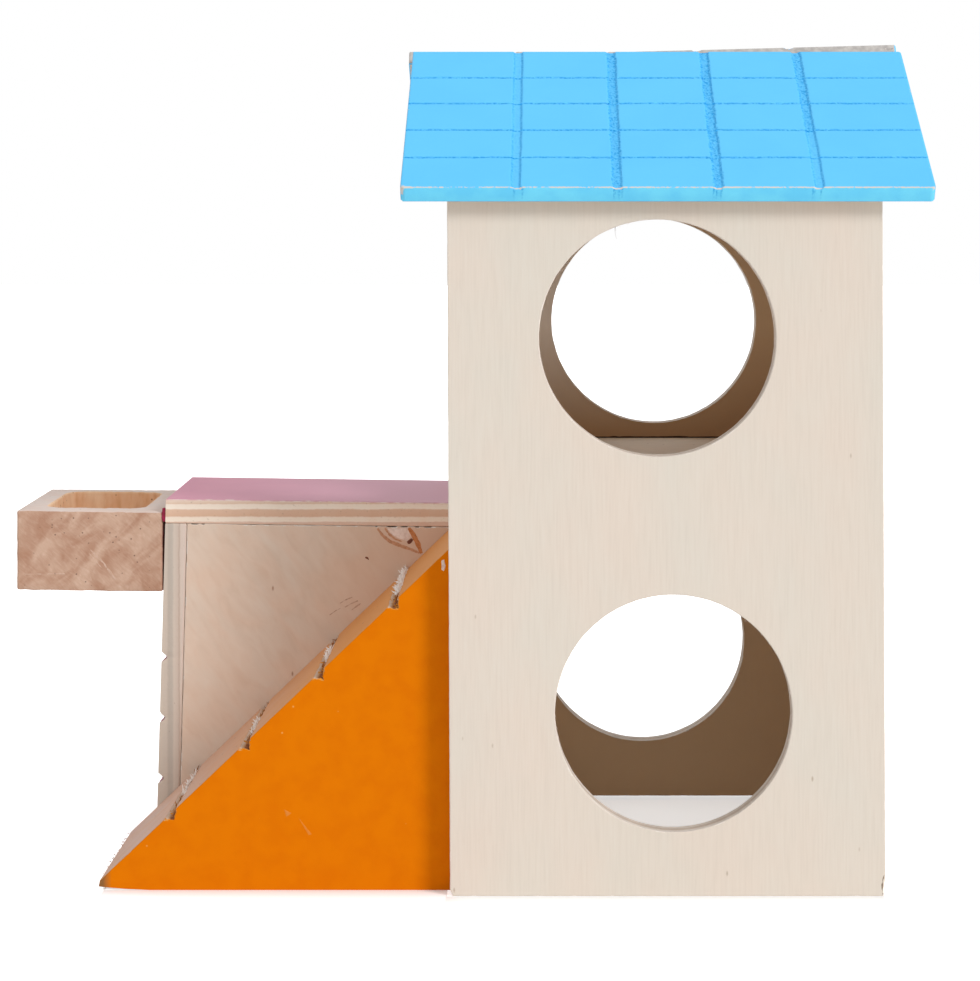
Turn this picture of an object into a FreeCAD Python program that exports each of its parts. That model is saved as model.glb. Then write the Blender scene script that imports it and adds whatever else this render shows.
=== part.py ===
"""Wooden hamster house: a two-storey plywood tower with a tiled roof, and beside it a low room
with a terrace on top, a solid ramp with grip grooves and a feed bowl on the wall.

House frame while modelling: X runs to the right from the tower's left face, Y runs back from
the tower's front face, Z runs up from the ground. Placements then shift every piece so that
the origin lies on the ground under the middle of the whole house. Lengths in millimetres.
"""

import FreeCAD, Part
import os
import re
import Sketcher

SIZES = {
    # Plywood of every wall, of the upper floor and of the low room's panels
    "ply": 5.0,
    # Tower outside the walls, and its front and back walls' height at the eaves
    "tower_width": 92.0,
    "tower_depth": 92.0,
    "wall_height": 149.15,
    # Round doorways: heights of the centres, and how far each lies off the wall's middle
    "doorway_diameter": 50.0,
    "lower_doorway_height": 38.6,
    "upper_doorway_height": 117.8,
    "doorway_offset": 1.6,
    # Step from the upper floor up to the lowest point of the upper doorway
    "sill_height": 4.0,
    # Roof: two boards with square cut ends, which meet at the ridge
    "roof_pitch": 32.5,
    "roof_board_thickness": 3.6,
    "roof_board_length": 58.5,
    "roof_board_width": 112.0,
    "roof_side_shift": 0.4,
    "ridge_lap": 2.3,
    # How far the back board's top edge, cut askew, has dropped at its left end
    "ridge_skew": 2.7,
    "eave_corner_radius": 1.0,
    # Tiles: wide grooves down the slope between columns, fine scores between rows
    "tile_columns": 5,
    "tile_column_pitch": 21.2,
    "column_groove_width": 2.0,
    "column_groove_depth": 0.95,
    "tile_rows": 5,
    "tile_row_pitch": 11.4,
    "row_score_width": 0.5,
    "row_score_depth": 0.35,
    # Low room at the tower's left side, flush with the back, and the terrace board on it
    "annex_length": 67.1,
    "annex_depth": 44.0,
    "annex_height": 72.2,
    "terrace_thickness": 5.6,
    "annex_doorway_height": 39.0,
    "annex_doorway_diameter": 44.0,
    # Level grooves that part the low room's outer wall into planks
    "plank_pitch": 13.9,
    "plank_grooves": 3,
    "plank_groove_width": 2.5,
    "plank_groove_depth": 1.2,
    # Solid ramp in front of the low room, with grip grooves sawn across its slope
    "ramp_run": 76.2,
    "ramp_rise": 72.7,
    "toe_radius": 1.1,
    "grip_grooves": 4,
    "grip_groove_pitch": 21.7,
    "grip_groove_start": 23.4,
    "grip_groove_width": 3.4,
    "grip_groove_depth": 1.7,
    # Feed bowl routed into a block, glued to the low room's outer wall
    "bowl_length": 34.0,
    "bowl_height": 18.5,
    "bowl_base_height": 56.9,
    "bowl_side_wall": 4.8,
    "bowl_end_wall": 5.6,
    "bowl_pocket_depth": 12.0,
    "bowl_corner_radius": 4.0,
    "bowl_floor_radius": 1.5,
    "bowl_edge_radius": 0.5,
}

# Shared places, as expressions on the sizes
PITCH_COS = "cos(roof_pitch)"
PITCH_SIN = "sin(roof_pitch)"
APEX_HEIGHT = "(wall_height + tower_depth / 2 * tan(roof_pitch))"
GABLE_EAVE_HEIGHT = "(wall_height + ply * tan(roof_pitch))"
# The front board stops short of the ridge by as much as brings its end face to the corner
# of the back board, which laps past the ridge
RIDGE_SHORTFALL = "(ridge_lap * cos(2 * roof_pitch))"
FRONT_BOARD_REACH = f"({RIDGE_SHORTFALL} + roof_board_length)"
BACK_BOARD_REACH = "(roof_board_length - ridge_lap)"
FLOOR_TOP = "(upper_doorway_height - doorway_diameter / 2 - sill_height)"
ANNEX_FRONT = "(tower_depth - annex_depth)"
RAMP_ANGLE = "atan(ramp_rise / ramp_run)"

# The origin is on the ground, under the middle of the house's box
HOUSE_LEFT = "(0 - annex_length - bowl_length)"
HOUSE_RIGHT = "(tower_width / 2 + roof_side_shift + roof_board_width / 2)"
EAVE_CORNER = f"roof_board_thickness * {PITCH_SIN}"
HOUSE_FRONT = f"(tower_depth / 2 - {FRONT_BOARD_REACH} * {PITCH_COS} - {EAVE_CORNER})"
HOUSE_BACK = f"(tower_depth / 2 + {BACK_BOARD_REACH} * {PITCH_COS} + {EAVE_CORNER})"
ORIGIN_X = f"(({HOUSE_LEFT} + {HOUSE_RIGHT}) / 2)"
ORIGIN_Y = f"(({HOUSE_FRONT} + {HOUSE_BACK}) / 2)"

TOLERANCE = 1e-4


def expression(text):
    """The text with each size's name turned into a reference to its cell."""
    return re.sub(
        r"[a-z]+(?:_[a-z]+)*",
        lambda found: "Sizes." + found.group() if found.group() in SIZES else found.group(),
        text,
    )


def make_sheet(document):
    """The spreadsheet of driving sizes, one aliased cell for each."""
    sheet = document.addObject("Spreadsheet::Sheet", "Sizes")
    for row, (name, number) in enumerate(SIZES.items(), start=1):
        sheet.set(f"A{row}", name.replace("_", " "))
        sheet.set(f"B{row}", str(number))
        sheet.setAlias(f"B{row}", name)
    document.recompute()


def evaluate(owner, text):
    """The number that an expression on the sizes gives now."""
    result = owner.evalExpression(expression(text))
    return float(getattr(result, "Value", result))


def place(piece, x, y, z, yaw="0", roll="0"):
    """Binds a piece's place, given in the house frame, and its turn about Z and X."""
    base = f"create(<<vector>>; {x} - {ORIGIN_X}; {y} - {ORIGIN_Y}; {z})"
    turn = f"create(<<rotation>>; {yaw}; 0; {roll})"
    piece.setExpression("Placement", expression(f"create(<<placement>>; {base}; {turn})"))


def new_body(document, label):
    """An empty body under the name of its piece."""
    body = document.addObject("PartDesign::Body", label)
    body.Label = label
    return body


def new_sketch(body, name, plane):
    """A sketch on one of the body's own origin planes."""
    sketch = body.newObject("Sketcher::SketchObject", name)
    support = next(item for item in body.Origin.OriginFeatures if item.Role == plane)
    sketch.AttachmentSupport = [(support, "")]
    sketch.MapMode = "FlatFace"
    return sketch


def bind_distance(sketch, kind, target, name, text):
    """Adds one named distance or size to a sketch and binds it to an expression."""
    index = sketch.addConstraint(Sketcher.Constraint(kind, *target, evaluate(sketch, text)))
    sketch.renameConstraint(index, name)
    sketch.setExpression(f"Constraints.{name}", expression(text))


def add_outline(sketch, corners):
    """A closed outline through corners, each given as a pair of expressions."""
    points = [
        FreeCAD.Vector(evaluate(sketch, x), evaluate(sketch, y), 0) for x, y in corners
    ]
    first = sketch.GeometryCount
    count = len(points)
    for index, point in enumerate(points):
        sketch.addGeometry(Part.LineSegment(point, points[(index + 1) % count]), False)
    for index, (x, y) in enumerate(corners):
        line = first + index
        before = first + (index - 1) % count
        sketch.addConstraint(Sketcher.Constraint("Coincident", before, 2, line, 1))
        bind_distance(sketch, "DistanceX", (-1, 1, line, 1), f"x{line}", x)
        bind_distance(sketch, "DistanceY", (-1, 1, line, 1), f"y{line}", y)


def add_circle(sketch, x, y, diameter):
    """A circle whose centre and diameter are bound to expressions."""
    centre = FreeCAD.Vector(evaluate(sketch, x), evaluate(sketch, y), 0)
    radius = evaluate(sketch, diameter) / 2
    axis = FreeCAD.Vector(0, 0, 1)
    circle = sketch.addGeometry(Part.Circle(centre, axis, radius), False)
    bind_distance(sketch, "DistanceX", (-1, 1, circle, 3), f"x{circle}", x)
    bind_distance(sketch, "DistanceY", (-1, 1, circle, 3), f"y{circle}", y)
    bind_distance(sketch, "Diameter", (circle,), f"diameter{circle}", diameter)


def rectangle(left, low, right, high):
    """The four corners of an upright rectangle."""
    return [(left, low), (right, low), (right, high), (left, high)]


def pad(body, sketch, length, backwards=False):
    """Pads a sketch by a bound length, against the sketch's normal if backwards."""
    feature = body.newObject("PartDesign::Pad", f"{sketch.Name}_pad")
    feature.Profile = sketch
    feature.Reversed = backwards
    feature.setExpression("Length", expression(length))
    body.Document.recompute()


def cut(body, sketch, depth=None, both_ways=False):
    """Cuts a sketch into the body, right through where no depth is given."""
    volume = body.Shape.Volume
    feature = body.newObject("PartDesign::Pocket", f"{sketch.Name}_cut")
    feature.Profile = sketch
    if both_ways:
        feature.SideType = "Symmetric"
    if depth is None:
        feature.Type = "ThroughAll"
    else:
        feature.setExpression("Length", expression(depth))
    body.Document.recompute()
    if body.Shape.Volume > volume - TOLERANCE:
        raise RuntimeError(f"{feature.Name} cuts nothing out of {body.Label}")
    return feature


def repeat(body, feature, direction, pitch, count):
    """Repeats a cut along a sketch axis, by a bound pitch and number."""
    volume = body.Shape.Volume
    pattern = body.newObject("PartDesign::LinearPattern", f"{feature.Name}_row")
    pattern.Originals = [feature]
    pattern.Direction = (feature.Profile[0], [direction])
    pattern.Mode = "Spacing"
    pattern.setExpression("Offset", expression(pitch))
    pattern.setExpression("Occurrences", expression(count))
    body.Tip = pattern
    body.Document.recompute()
    if pattern.Occurrences > 1 and body.Shape.Volume > volume - TOLERANCE:
        raise RuntimeError(f"{pattern.Name} repeats nothing on {body.Label}")


def edges_where(shape, test):
    """Names of the straight edges whose middle and direction pass a test."""
    found = []
    for index, edge in enumerate(shape.Edges, start=1):
        if not isinstance(edge.Curve, Part.Line):
            continue
        direction = edge.Vertexes[-1].Point - edge.Vertexes[0].Point
        if test(edge.CenterOfMass, direction.normalize()):
            found.append(f"Edge{index}")
    return found


def fillet(body, name, test, radius):
    """Rounds the body's edges that pass a test, by a bound radius."""
    base = body.Tip
    names = edges_where(base.Shape, test)
    if not names:
        raise RuntimeError(f"no edge of {body.Label} to round for {name}")
    feature = body.newObject("PartDesign::Fillet", name)
    feature.Base = (base, names)
    feature.setExpression("Radius", expression(radius))
    body.Document.recompute()


def near(number, target):
    """Whether two lengths agree."""
    return abs(number - target) < TOLERANCE


def doorway_wall(document, label):
    """The tower's front or back wall, with a lower and an upper round doorway.

    It stands on the local XZ plane, centred on X, and its thickness runs along +Y.
    """
    body = new_body(document, label)
    sketch = new_sketch(body, f"{label}_outline", "XZ_Plane")
    half = "tower_width / 2"
    add_outline(sketch, rectangle(f"0 - {half}", "0", half, "wall_height"))
    add_circle(sketch, "doorway_offset", "lower_doorway_height", "doorway_diameter")
    add_circle(sketch, "0 - doorway_offset", "upper_doorway_height", "doorway_diameter")
    pad(body, sketch, "ply", backwards=True)
    return body


def gable_wall(document, label, has_doorway):
    """A side wall between the front and back walls, whose gable carries the roof boards."""
    body = new_body(document, label)
    sketch = new_sketch(body, f"{label}_outline", "YZ_Plane")
    corners = [
        ("ply", "0"),
        ("tower_depth - ply", "0"),
        ("tower_depth - ply", GABLE_EAVE_HEIGHT),
        ("tower_depth / 2", APEX_HEIGHT),
        ("ply", GABLE_EAVE_HEIGHT),
    ]
    add_outline(sketch, corners)
    if has_doorway:
        add_circle(sketch, "tower_depth / 2", "upper_doorway_height", "doorway_diameter")
    pad(body, sketch, "ply")
    return body


def board(document, label, length, width, height):
    """A plain rectangular board with bound edges."""
    box = document.addObject("Part::Box", label)
    box.Label = label
    box.setExpression("Length", expression(length))
    box.setExpression("Width", expression(width))
    box.setExpression("Height", expression(height))
    return box


def roof_board(document, label):
    """A roof board scored into tiles.

    Locally it is centred on X, runs up the slope along +Y from the eave, and its
    underside lies on Z = 0.
    """
    body = new_body(document, label)
    half = "roof_board_width / 2"
    length = "roof_board_length"
    top = "roof_board_thickness"
    plan = new_sketch(body, f"{label}_plan", "XY_Plane")
    add_outline(plan, rectangle(f"0 - {half}", "0", half, length))
    pad(body, plan, top)

    def at_eave_corner(middle, direction):
        return near(abs(direction.z), 1) and near(middle.y, 0)

    fillet(body, f"{label}_corners", at_eave_corner, "eave_corner_radius")

    first = "(0 - (tile_columns - 2) * tile_column_pitch / 2)"
    groove = new_sketch(body, f"{label}_column_groove", "XZ_Plane")
    add_outline(
        groove,
        [
            (f"{first} - column_groove_width / 2", top),
            (first, f"{top} - column_groove_depth"),
            (f"{first} + column_groove_width / 2", top),
        ],
    )
    columns = cut(body, groove)
    repeat(body, columns, "H_Axis", "tile_column_pitch", "tile_columns - 1")

    lowest = f"({length} / 2 - (tile_rows - 2) * tile_row_pitch / 2)"
    score = new_sketch(body, f"{label}_row_score", "YZ_Plane")
    add_outline(
        score,
        [
            (f"{lowest} - row_score_width / 2", top),
            (lowest, f"{top} - row_score_depth"),
            (f"{lowest} + row_score_width / 2", top),
        ],
    )
    rows = cut(body, score, both_ways=True)
    repeat(body, rows, "H_Axis", "tile_row_pitch", "tile_rows - 1")
    return body


def plank_wall(document, label):
    """The low room's outer wall, grooved into planks on its outer face at local X = 0."""
    body = new_body(document, label)
    sketch = new_sketch(body, f"{label}_outline", "YZ_Plane")
    add_outline(sketch, rectangle("0", "0", "annex_depth", "annex_height"))
    pad(body, sketch, "ply")
    groove = new_sketch(body, f"{label}_groove", "XZ_Plane")
    add_outline(
        groove,
        [
            ("0", "plank_pitch - plank_groove_width / 2"),
            ("plank_groove_depth", "plank_pitch"),
            ("0", "plank_pitch + plank_groove_width / 2"),
        ],
    )
    planks = cut(body, groove)
    repeat(body, planks, "V_Axis", "plank_pitch", "plank_grooves")
    return body


def annex_doorway_panel(document, label):
    """The low room's back panel, with a round doorway in its middle."""
    body = new_body(document, label)
    sketch = new_sketch(body, f"{label}_outline", "XZ_Plane")
    width = "(annex_length - ply)"
    add_outline(sketch, rectangle("0", "0", width, "annex_height"))
    add_circle(sketch, f"{width} / 2", "annex_doorway_height", "annex_doorway_diameter")
    pad(body, sketch, "ply", backwards=True)
    return body


def ramp(document, label):
    """The solid ramp: toe at the left, its back and high end against the house.

    Locally its high end is at X = 0 and its width runs along +Y. Each grip groove is a V
    square to the slope, and the grooves follow one another up a construction line.
    """
    body = new_body(document, label)
    outline = new_sketch(body, f"{label}_outline", "XZ_Plane")
    add_outline(outline, [("0 - ramp_run", "0"), ("0", "0"), ("0", "ramp_rise")])
    pad(body, outline, f"{ANNEX_FRONT} - ply", backwards=True)
    toe = evaluate(outline, "0 - ramp_run")

    def at_toe(middle, direction):
        return near(middle.x, toe) and near(abs(direction.y), 1)

    fillet(body, f"{label}_toe", at_toe, "toe_radius")

    across = f"cos({RAMP_ANGLE})"
    up = f"sin({RAMP_ANGLE})"
    side = "grip_groove_width / 2"
    centre_x = f"(grip_groove_start * {across} - ramp_run)"
    centre_z = f"(grip_groove_start * {up})"
    groove = new_sketch(body, f"{label}_grip_groove", "XZ_Plane")
    add_outline(
        groove,
        [
            (f"{centre_x} - {side} * {across}", f"{centre_z} - {side} * {up}"),
            (
                f"{centre_x} + grip_groove_depth * {up}",
                f"{centre_z} - grip_groove_depth * {across}",
            ),
            (f"{centre_x} + {side} * {across}", f"{centre_z} + {side} * {up}"),
        ],
    )
    slope = Part.LineSegment(
        FreeCAD.Vector(toe, 0, 0),
        FreeCAD.Vector(0, evaluate(groove, "ramp_rise"), 0),
    )
    line = groove.addGeometry(slope, True)
    bind_distance(groove, "DistanceX", (-1, 1, line, 1), "slope_toe", "0 - ramp_run")
    groove.addConstraint(Sketcher.Constraint("PointOnObject", line, 1, -1))
    groove.addConstraint(Sketcher.Constraint("PointOnObject", line, 2, -2))
    bind_distance(groove, "DistanceY", (-1, 1, line, 2), "slope_top", "ramp_rise")
    grips = cut(body, groove)
    repeat(body, grips, "Axis0", "grip_groove_pitch", "grip_grooves")
    return body


def bowl(document, label):
    """The feed bowl: a block with a routed pocket, its glued side at local X = 0."""
    body = new_body(document, label)
    block = new_sketch(body, f"{label}_block", "XY_Plane")
    add_outline(block, rectangle("0 - bowl_length", "0", "0", "annex_depth"))
    pad(body, block, "bowl_height")
    pocket = new_sketch(body, f"{label}_pocket", "XY_Plane")
    pocket.setExpression("AttachmentOffset.Base.z", expression("bowl_height"))
    left = "bowl_side_wall - bowl_length"
    right = "0 - bowl_side_wall"
    back = "annex_depth - bowl_end_wall"
    add_outline(pocket, rectangle(left, "bowl_end_wall", right, back))
    cut(body, pocket, "bowl_pocket_depth")
    outer_x = (evaluate(block, "0 - bowl_length"), 0)
    outer_y = (0, evaluate(block, "annex_depth"))
    pocket_floor = evaluate(block, "bowl_height - bowl_pocket_depth")

    def is_outer(middle):
        on_side = any(near(middle.x, x) for x in outer_x)
        return on_side or any(near(middle.y, y) for y in outer_y)

    def at_pocket_corner(middle, direction):
        return near(abs(direction.z), 1) and not is_outer(middle)

    def at_pocket_floor(middle, direction):
        return near(middle.z, pocket_floor)

    def at_block_edge(middle, direction):
        return is_outer(middle)

    fillet(body, f"{label}_corners", at_pocket_corner, "bowl_corner_radius")
    fillet(body, f"{label}_floor_round", at_pocket_floor, "bowl_floor_radius")
    fillet(body, f"{label}_edges", at_block_edge, "bowl_edge_radius")
    return body


def build_tower(document):
    """The tower's four walls and its upper floor."""
    middle = "tower_width / 2"
    front = doorway_wall(document, "tower_front_wall")
    place(front, middle, "0", "0")
    back = doorway_wall(document, "tower_back_wall")
    place(back, middle, "tower_depth", "0", yaw="180")
    left = gable_wall(document, "tower_left_wall", has_doorway=True)
    place(left, "0", "0", "0")
    right = gable_wall(document, "tower_right_wall", has_doorway=False)
    place(right, "tower_width - ply", "0", "0")
    inner_width = "tower_width - 2 * ply"
    inner_depth = "tower_depth - 2 * ply"
    floor = board(document, "upper_floor", inner_width, inner_depth, "ply")
    place(floor, "ply", "ply", f"{FLOOR_TOP} - ply")
    return [front, back, left, right, floor]


def build_roof(document):
    """The two roof boards, which lie on the gables and meet at the ridge.

    The back one's top edge is cut askew: it laps the front board's at the right end only.
    """
    middle = "tower_width / 2 + roof_side_shift"
    front = roof_board(document, "roof_front_board")
    place(
        front,
        middle,
        f"tower_depth / 2 - {FRONT_BOARD_REACH} * {PITCH_COS}",
        f"{APEX_HEIGHT} - {FRONT_BOARD_REACH} * {PITCH_SIN}",
        roll="roof_pitch",
    )
    back = roof_board(document, "roof_back_board")
    place(
        back,
        middle,
        f"tower_depth / 2 + {BACK_BOARD_REACH} * {PITCH_COS}",
        f"{APEX_HEIGHT} - {BACK_BOARD_REACH} * {PITCH_SIN}",
        yaw="180",
        roll="roof_pitch",
    )
    half = "roof_board_width / 2"
    askew = new_sketch(back, "roof_back_board_askew", "XY_Plane")
    add_outline(
        askew,
        [
            (f"0 - {half}", "roof_board_length"),
            (half, "roof_board_length - ridge_skew"),
            (half, "roof_board_length"),
        ],
    )
    cut(back, askew, both_ways=True)
    return [front, back]


def build_annex(document):
    """The low room: outer wall, front and back panels, and the terrace board."""
    outer = plank_wall(document, "annex_left_wall")
    place(outer, "0 - annex_length", ANNEX_FRONT, "0")
    panel_left = "ply - annex_length"
    width = "annex_length - ply"
    front = board(document, "annex_front_panel", width, "ply", "annex_height")
    place(front, panel_left, ANNEX_FRONT, "0")
    back = annex_doorway_panel(document, "annex_back_panel")
    place(back, panel_left, "tower_depth - ply", "0")
    terrace = board(
        document, "terrace_board", "annex_length", "annex_depth", "terrace_thickness"
    )
    place(terrace, "0 - annex_length", ANNEX_FRONT, "annex_height")
    return [outer, front, back, terrace]


def build_ramp_and_bowl(document):
    """The ramp in front of the low room and the feed bowl on its outer wall."""
    wedge = ramp(document, "ramp_wedge")
    place(wedge, "0", "ply", "0")
    feeder = bowl(document, "feed_bowl")
    place(feeder, "0 - annex_length", ANNEX_FRONT, "bowl_base_height")
    return [wedge, feeder]


def check(document, pieces):
    """Stops the script if any object failed or any piece isn't one sound solid."""
    for item in document.Objects:
        if "Invalid" in item.State or "Error" in item.State:
            raise RuntimeError(f"{item.Name} failed: {item.State}")
    for piece in pieces:
        shape = piece.Shape
        if shape.isNull() or not shape.isValid() or len(shape.Solids) != 1:
            raise RuntimeError(f"{piece.Label} isn't one valid solid")


def main():
    """Builds the house, checks it and writes each piece's STEP file."""
    document = FreeCAD.newDocument("hamster_house")
    make_sheet(document)
    pieces = build_tower(document)
    pieces += build_roof(document)
    pieces += build_annex(document)
    pieces += build_ramp_and_bowl(document)
    document.recompute()
    check(document, pieces)
    os.makedirs("parts", exist_ok=True)
    for piece in pieces:
        piece.Shape.exportStep(os.path.join("parts", f"{piece.Label}.step"))
        box = piece.Shape.BoundBox
        print(
            f"{piece.Label}: x {box.XMin:.2f} to {box.XMax:.2f}, y {box.YMin:.2f} to"
            f" {box.YMax:.2f}, z {box.ZMin:.2f} to {box.ZMax:.2f},"
            f" {piece.Shape.Volume:.0f} cubic mm"
        )


main()
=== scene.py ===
"""Looks of the wooden hamster house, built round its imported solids.

A two-storey plywood tower under a scored blue roof; beside it a low room with a rose
terrace, a solid orange ramp with grip grooves, and a feed bowl on the outer wall.

House frame, as in the part's source: X runs right from the tower's left face, Y back from
its front face, Z up from the ground, all in millimetres. Meshes are handed over in the
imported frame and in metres.
"""

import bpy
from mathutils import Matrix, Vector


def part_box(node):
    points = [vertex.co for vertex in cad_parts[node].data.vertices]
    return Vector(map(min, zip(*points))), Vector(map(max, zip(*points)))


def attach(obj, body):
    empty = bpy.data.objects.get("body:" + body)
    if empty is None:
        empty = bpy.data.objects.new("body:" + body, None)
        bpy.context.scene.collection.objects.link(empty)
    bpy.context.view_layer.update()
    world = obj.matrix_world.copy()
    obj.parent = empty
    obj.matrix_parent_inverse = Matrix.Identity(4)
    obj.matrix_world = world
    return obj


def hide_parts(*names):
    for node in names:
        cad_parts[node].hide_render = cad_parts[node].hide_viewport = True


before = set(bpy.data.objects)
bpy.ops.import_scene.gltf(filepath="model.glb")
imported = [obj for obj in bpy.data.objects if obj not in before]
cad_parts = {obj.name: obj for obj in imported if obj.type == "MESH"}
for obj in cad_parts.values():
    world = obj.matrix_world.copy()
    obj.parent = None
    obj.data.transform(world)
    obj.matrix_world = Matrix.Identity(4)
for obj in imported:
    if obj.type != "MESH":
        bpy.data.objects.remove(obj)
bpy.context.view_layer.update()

import logging
import math
from collections.abc import Callable, Sequence
from dataclasses import dataclass, field, fields
from enum import Enum

import bmesh
import bpy
import numpy as np
from mathutils import Vector, noise

LOG = logging.getLogger("hamster_house")
MM = 0.001
# Where the house frame's origin, the foot of the tower's front left corner, was packed
HOUSE = Vector((*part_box("tower_front_wall")[0][:2], 0.0))

# Attributes on a mesh: place on a board, how ragged its cuts are, how deep a spot was cut,
# how worn its paint is, and the way that fibres point
PLACE = "board_place"
RAGGED = "ragged"
CARVED = "carved"
WORN = "worn"
FIBRE_WAY = "fibre_way"

Point = tuple[float, float, float]
Flat = tuple[float, float]
NodeTree, Node, Socket = bpy.types.NodeTree, bpy.types.Node, bpy.types.NodeSocket
Piece, Mesh, WorkMesh = bpy.types.Object, bpy.types.Mesh, bmesh.types.BMesh
FaceTest = Callable[[Vector, Vector], bool]
Settle = Callable[[Sequence[float]], Point]

# Sizes that several sub-assemblies share
PLY = 5.0
TOWER_WIDTH = 92.0
TOWER_DEPTH = 92.0
WALL_HEIGHT = 149.15
ROOF_PITCH = 32.5
ANNEX_LENGTH = 67.1
ANNEX_DEPTH = 44.0
ANNEX_HEIGHT = 72.2
ANNEX_FRONT = TOWER_DEPTH - ANNEX_DEPTH

TERRACE_THICKNESS = 5.6
# The glued house stands a little out of true
TOWER_FOOT_OFF = 0.65
OUTER_WALL_FOOT_OFF = -1.4
OUTER_WALL_TOP_OFF = 0.64
TERRACE_LEFT_RISE = 0.5
TERRACE_RIGHT_DROP = -0.35
TERRACE_REAR_RISE = 0.3


def placed(place: Sequence[float]) -> Vector:
    """Turns a place in the house frame, in mm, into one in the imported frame, in metres."""
    return HOUSE + Vector(place) * MM


def unmoved(place: Sequence[float]) -> Point:
    """Leaves a place as it is."""
    return tuple(place)


def tower_settle(place: Sequence[float]) -> Point:
    """Moves a place with the tower, whose foot stands to the right of its eaves."""
    x, y, z = place
    return (x + TOWER_FOOT_OFF * (1 - z / WALL_HEIGHT), y, z)


def annex_settle(place: Sequence[float]) -> Point:
    """Moves a place with the low room, whose outer wall leans in and whose lid tilts.

    Args:
        place: the place where all stands true.
    Returns:
        The place on the glued house.
    """
    x, y, z = place
    share = 1 + x / ANNEX_LENGTH
    up = z / ANNEX_HEIGHT
    left = OUTER_WALL_FOOT_OFF + (OUTER_WALL_TOP_OFF - OUTER_WALL_FOOT_OFF) * up
    right = TOWER_FOOT_OFF * (1 - z / WALL_HEIGHT)
    rise = TERRACE_LEFT_RISE * (1 - share) + TERRACE_RIGHT_DROP * share
    rise += TERRACE_REAR_RISE * (y - ANNEX_FRONT) / ANNEX_DEPTH
    return (x + left * (1 - share) + right * share, y, z + rise * up)


class Axis(Enum):
    """The axis that a flat board's thickness runs along."""

    X = 0
    Y = 1
    Z = 2

    def lift(self, a: float, b: float, t: float) -> Point:
        """Turns a place in the board's plane and its depth t into a place in the frame."""
        return {Axis.X: (t, a, b), Axis.Y: (a, t, b), Axis.Z: (a, b, t)}[self]


def linear(colour: str) -> tuple[float, float, float, float]:
    """Turns an sRGB hex colour into linear RGBA.

    Args:
        colour: the colour as #RRGGBB.
    Returns:
        Four linear values, the last one being 1.
    """
    parts = [int(colour[i : i + 2], 16) / 255 for i in (1, 3, 5)]
    return (*(p / 12.92 if p <= 0.04045 else ((p + 0.055) / 1.055) ** 2.4 for p in parts), 1.0)


class Kind(Enum):
    """Kinds of nodes: each one's type and the settings that it always has."""

    ADD = ("ShaderNodeMath", {"operation": "ADD"})
    SUBTRACT = ("ShaderNodeMath", {"operation": "SUBTRACT"})
    MULTIPLY = ("ShaderNodeMath", {"operation": "MULTIPLY"})
    MULTIPLY_ADD = ("ShaderNodeMath", {"operation": "MULTIPLY_ADD"})
    DIVIDE = ("ShaderNodeMath", {"operation": "DIVIDE"})
    MINIMUM = ("ShaderNodeMath", {"operation": "MINIMUM"})
    MAXIMUM = ("ShaderNodeMath", {"operation": "MAXIMUM"})
    ABSOLUTE = ("ShaderNodeMath", {"operation": "ABSOLUTE"})
    ROUND = ("ShaderNodeMath", {"operation": "ROUND"})
    LESS_THAN = ("ShaderNodeMath", {"operation": "LESS_THAN"})
    GREATER_THAN = ("ShaderNodeMath", {"operation": "GREATER_THAN"})
    ADD_VECTORS = ("ShaderNodeVectorMath", {"operation": "ADD"})
    MULTIPLY_VECTORS = ("ShaderNodeVectorMath", {"operation": "MULTIPLY"})
    SCALE_VECTOR = ("ShaderNodeVectorMath", {"operation": "SCALE"})
    SPLIT = ("ShaderNodeSeparateXYZ", {})
    JOIN = ("ShaderNodeCombineXYZ", {})
    RANGE = ("ShaderNodeMapRange", {})
    RAMP = ("ShaderNodeValToRGB", {})
    MIX = ("ShaderNodeMix", {"data_type": "RGBA"})
    COORDINATES = ("ShaderNodeTexCoord", {})
    MAPPING = ("ShaderNodeMapping", {})
    NOISE = ("ShaderNodeTexNoise", {})
    SEEDED_NOISE = ("ShaderNodeTexNoise", {"noise_dimensions": "4D"})
    CELLS = ("ShaderNodeTexVoronoi", {})
    CARVED_MARK = ("ShaderNodeAttribute", {"attribute_name": CARVED})
    WORN_MARK = ("ShaderNodeAttribute", {"attribute_name": WORN})
    BUMP = ("ShaderNodeBump", {})
    RAYS = ("ShaderNodeLightPath", {})
    GLOW = ("ShaderNodeEmission", {})
    BOTH_SHADERS = ("ShaderNodeAddShader", {})
    TREE_INPUTS = ("NodeGroupInput", {})
    TREE_RESULT = ("NodeGroupOutput", {})
    READ_NUMBER = ("GeometryNodeInputNamedAttribute", {"data_type": "FLOAT"})
    READ_VECTOR = ("GeometryNodeInputNamedAttribute", {"data_type": "FLOAT_VECTOR"})
    STORE_NUMBER = ("GeometryNodeStoreNamedAttribute", {"data_type": "FLOAT", "domain": "POINT"})
    RANDOM_NUMBER = ("FunctionNodeRandomValue", {"data_type": "FLOAT"})
    RANDOM_VECTOR = ("FunctionNodeRandomValue", {"data_type": "FLOAT_VECTOR"})
    POSITION = ("GeometryNodeInputPosition", {})
    MOVE = ("GeometryNodeSetPosition", {})
    PATH = ("GeometryNodeMeshToCurve", {})
    RESAMPLE = ("GeometryNodeResampleCurve", {})
    CONE = ("GeometryNodeMeshCone", {})
    SPIN = ("FunctionNodeAxisAngleToRotation", {})
    ALIGN = ("FunctionNodeAlignRotationToVector", {"axis": "Z"})
    INSTANCES = ("GeometryNodeInstanceOnPoints", {})
    REALIZE = ("GeometryNodeRealizeInstances", {})
    SET_MATERIAL = ("GeometryNodeSetMaterial", {})


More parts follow.
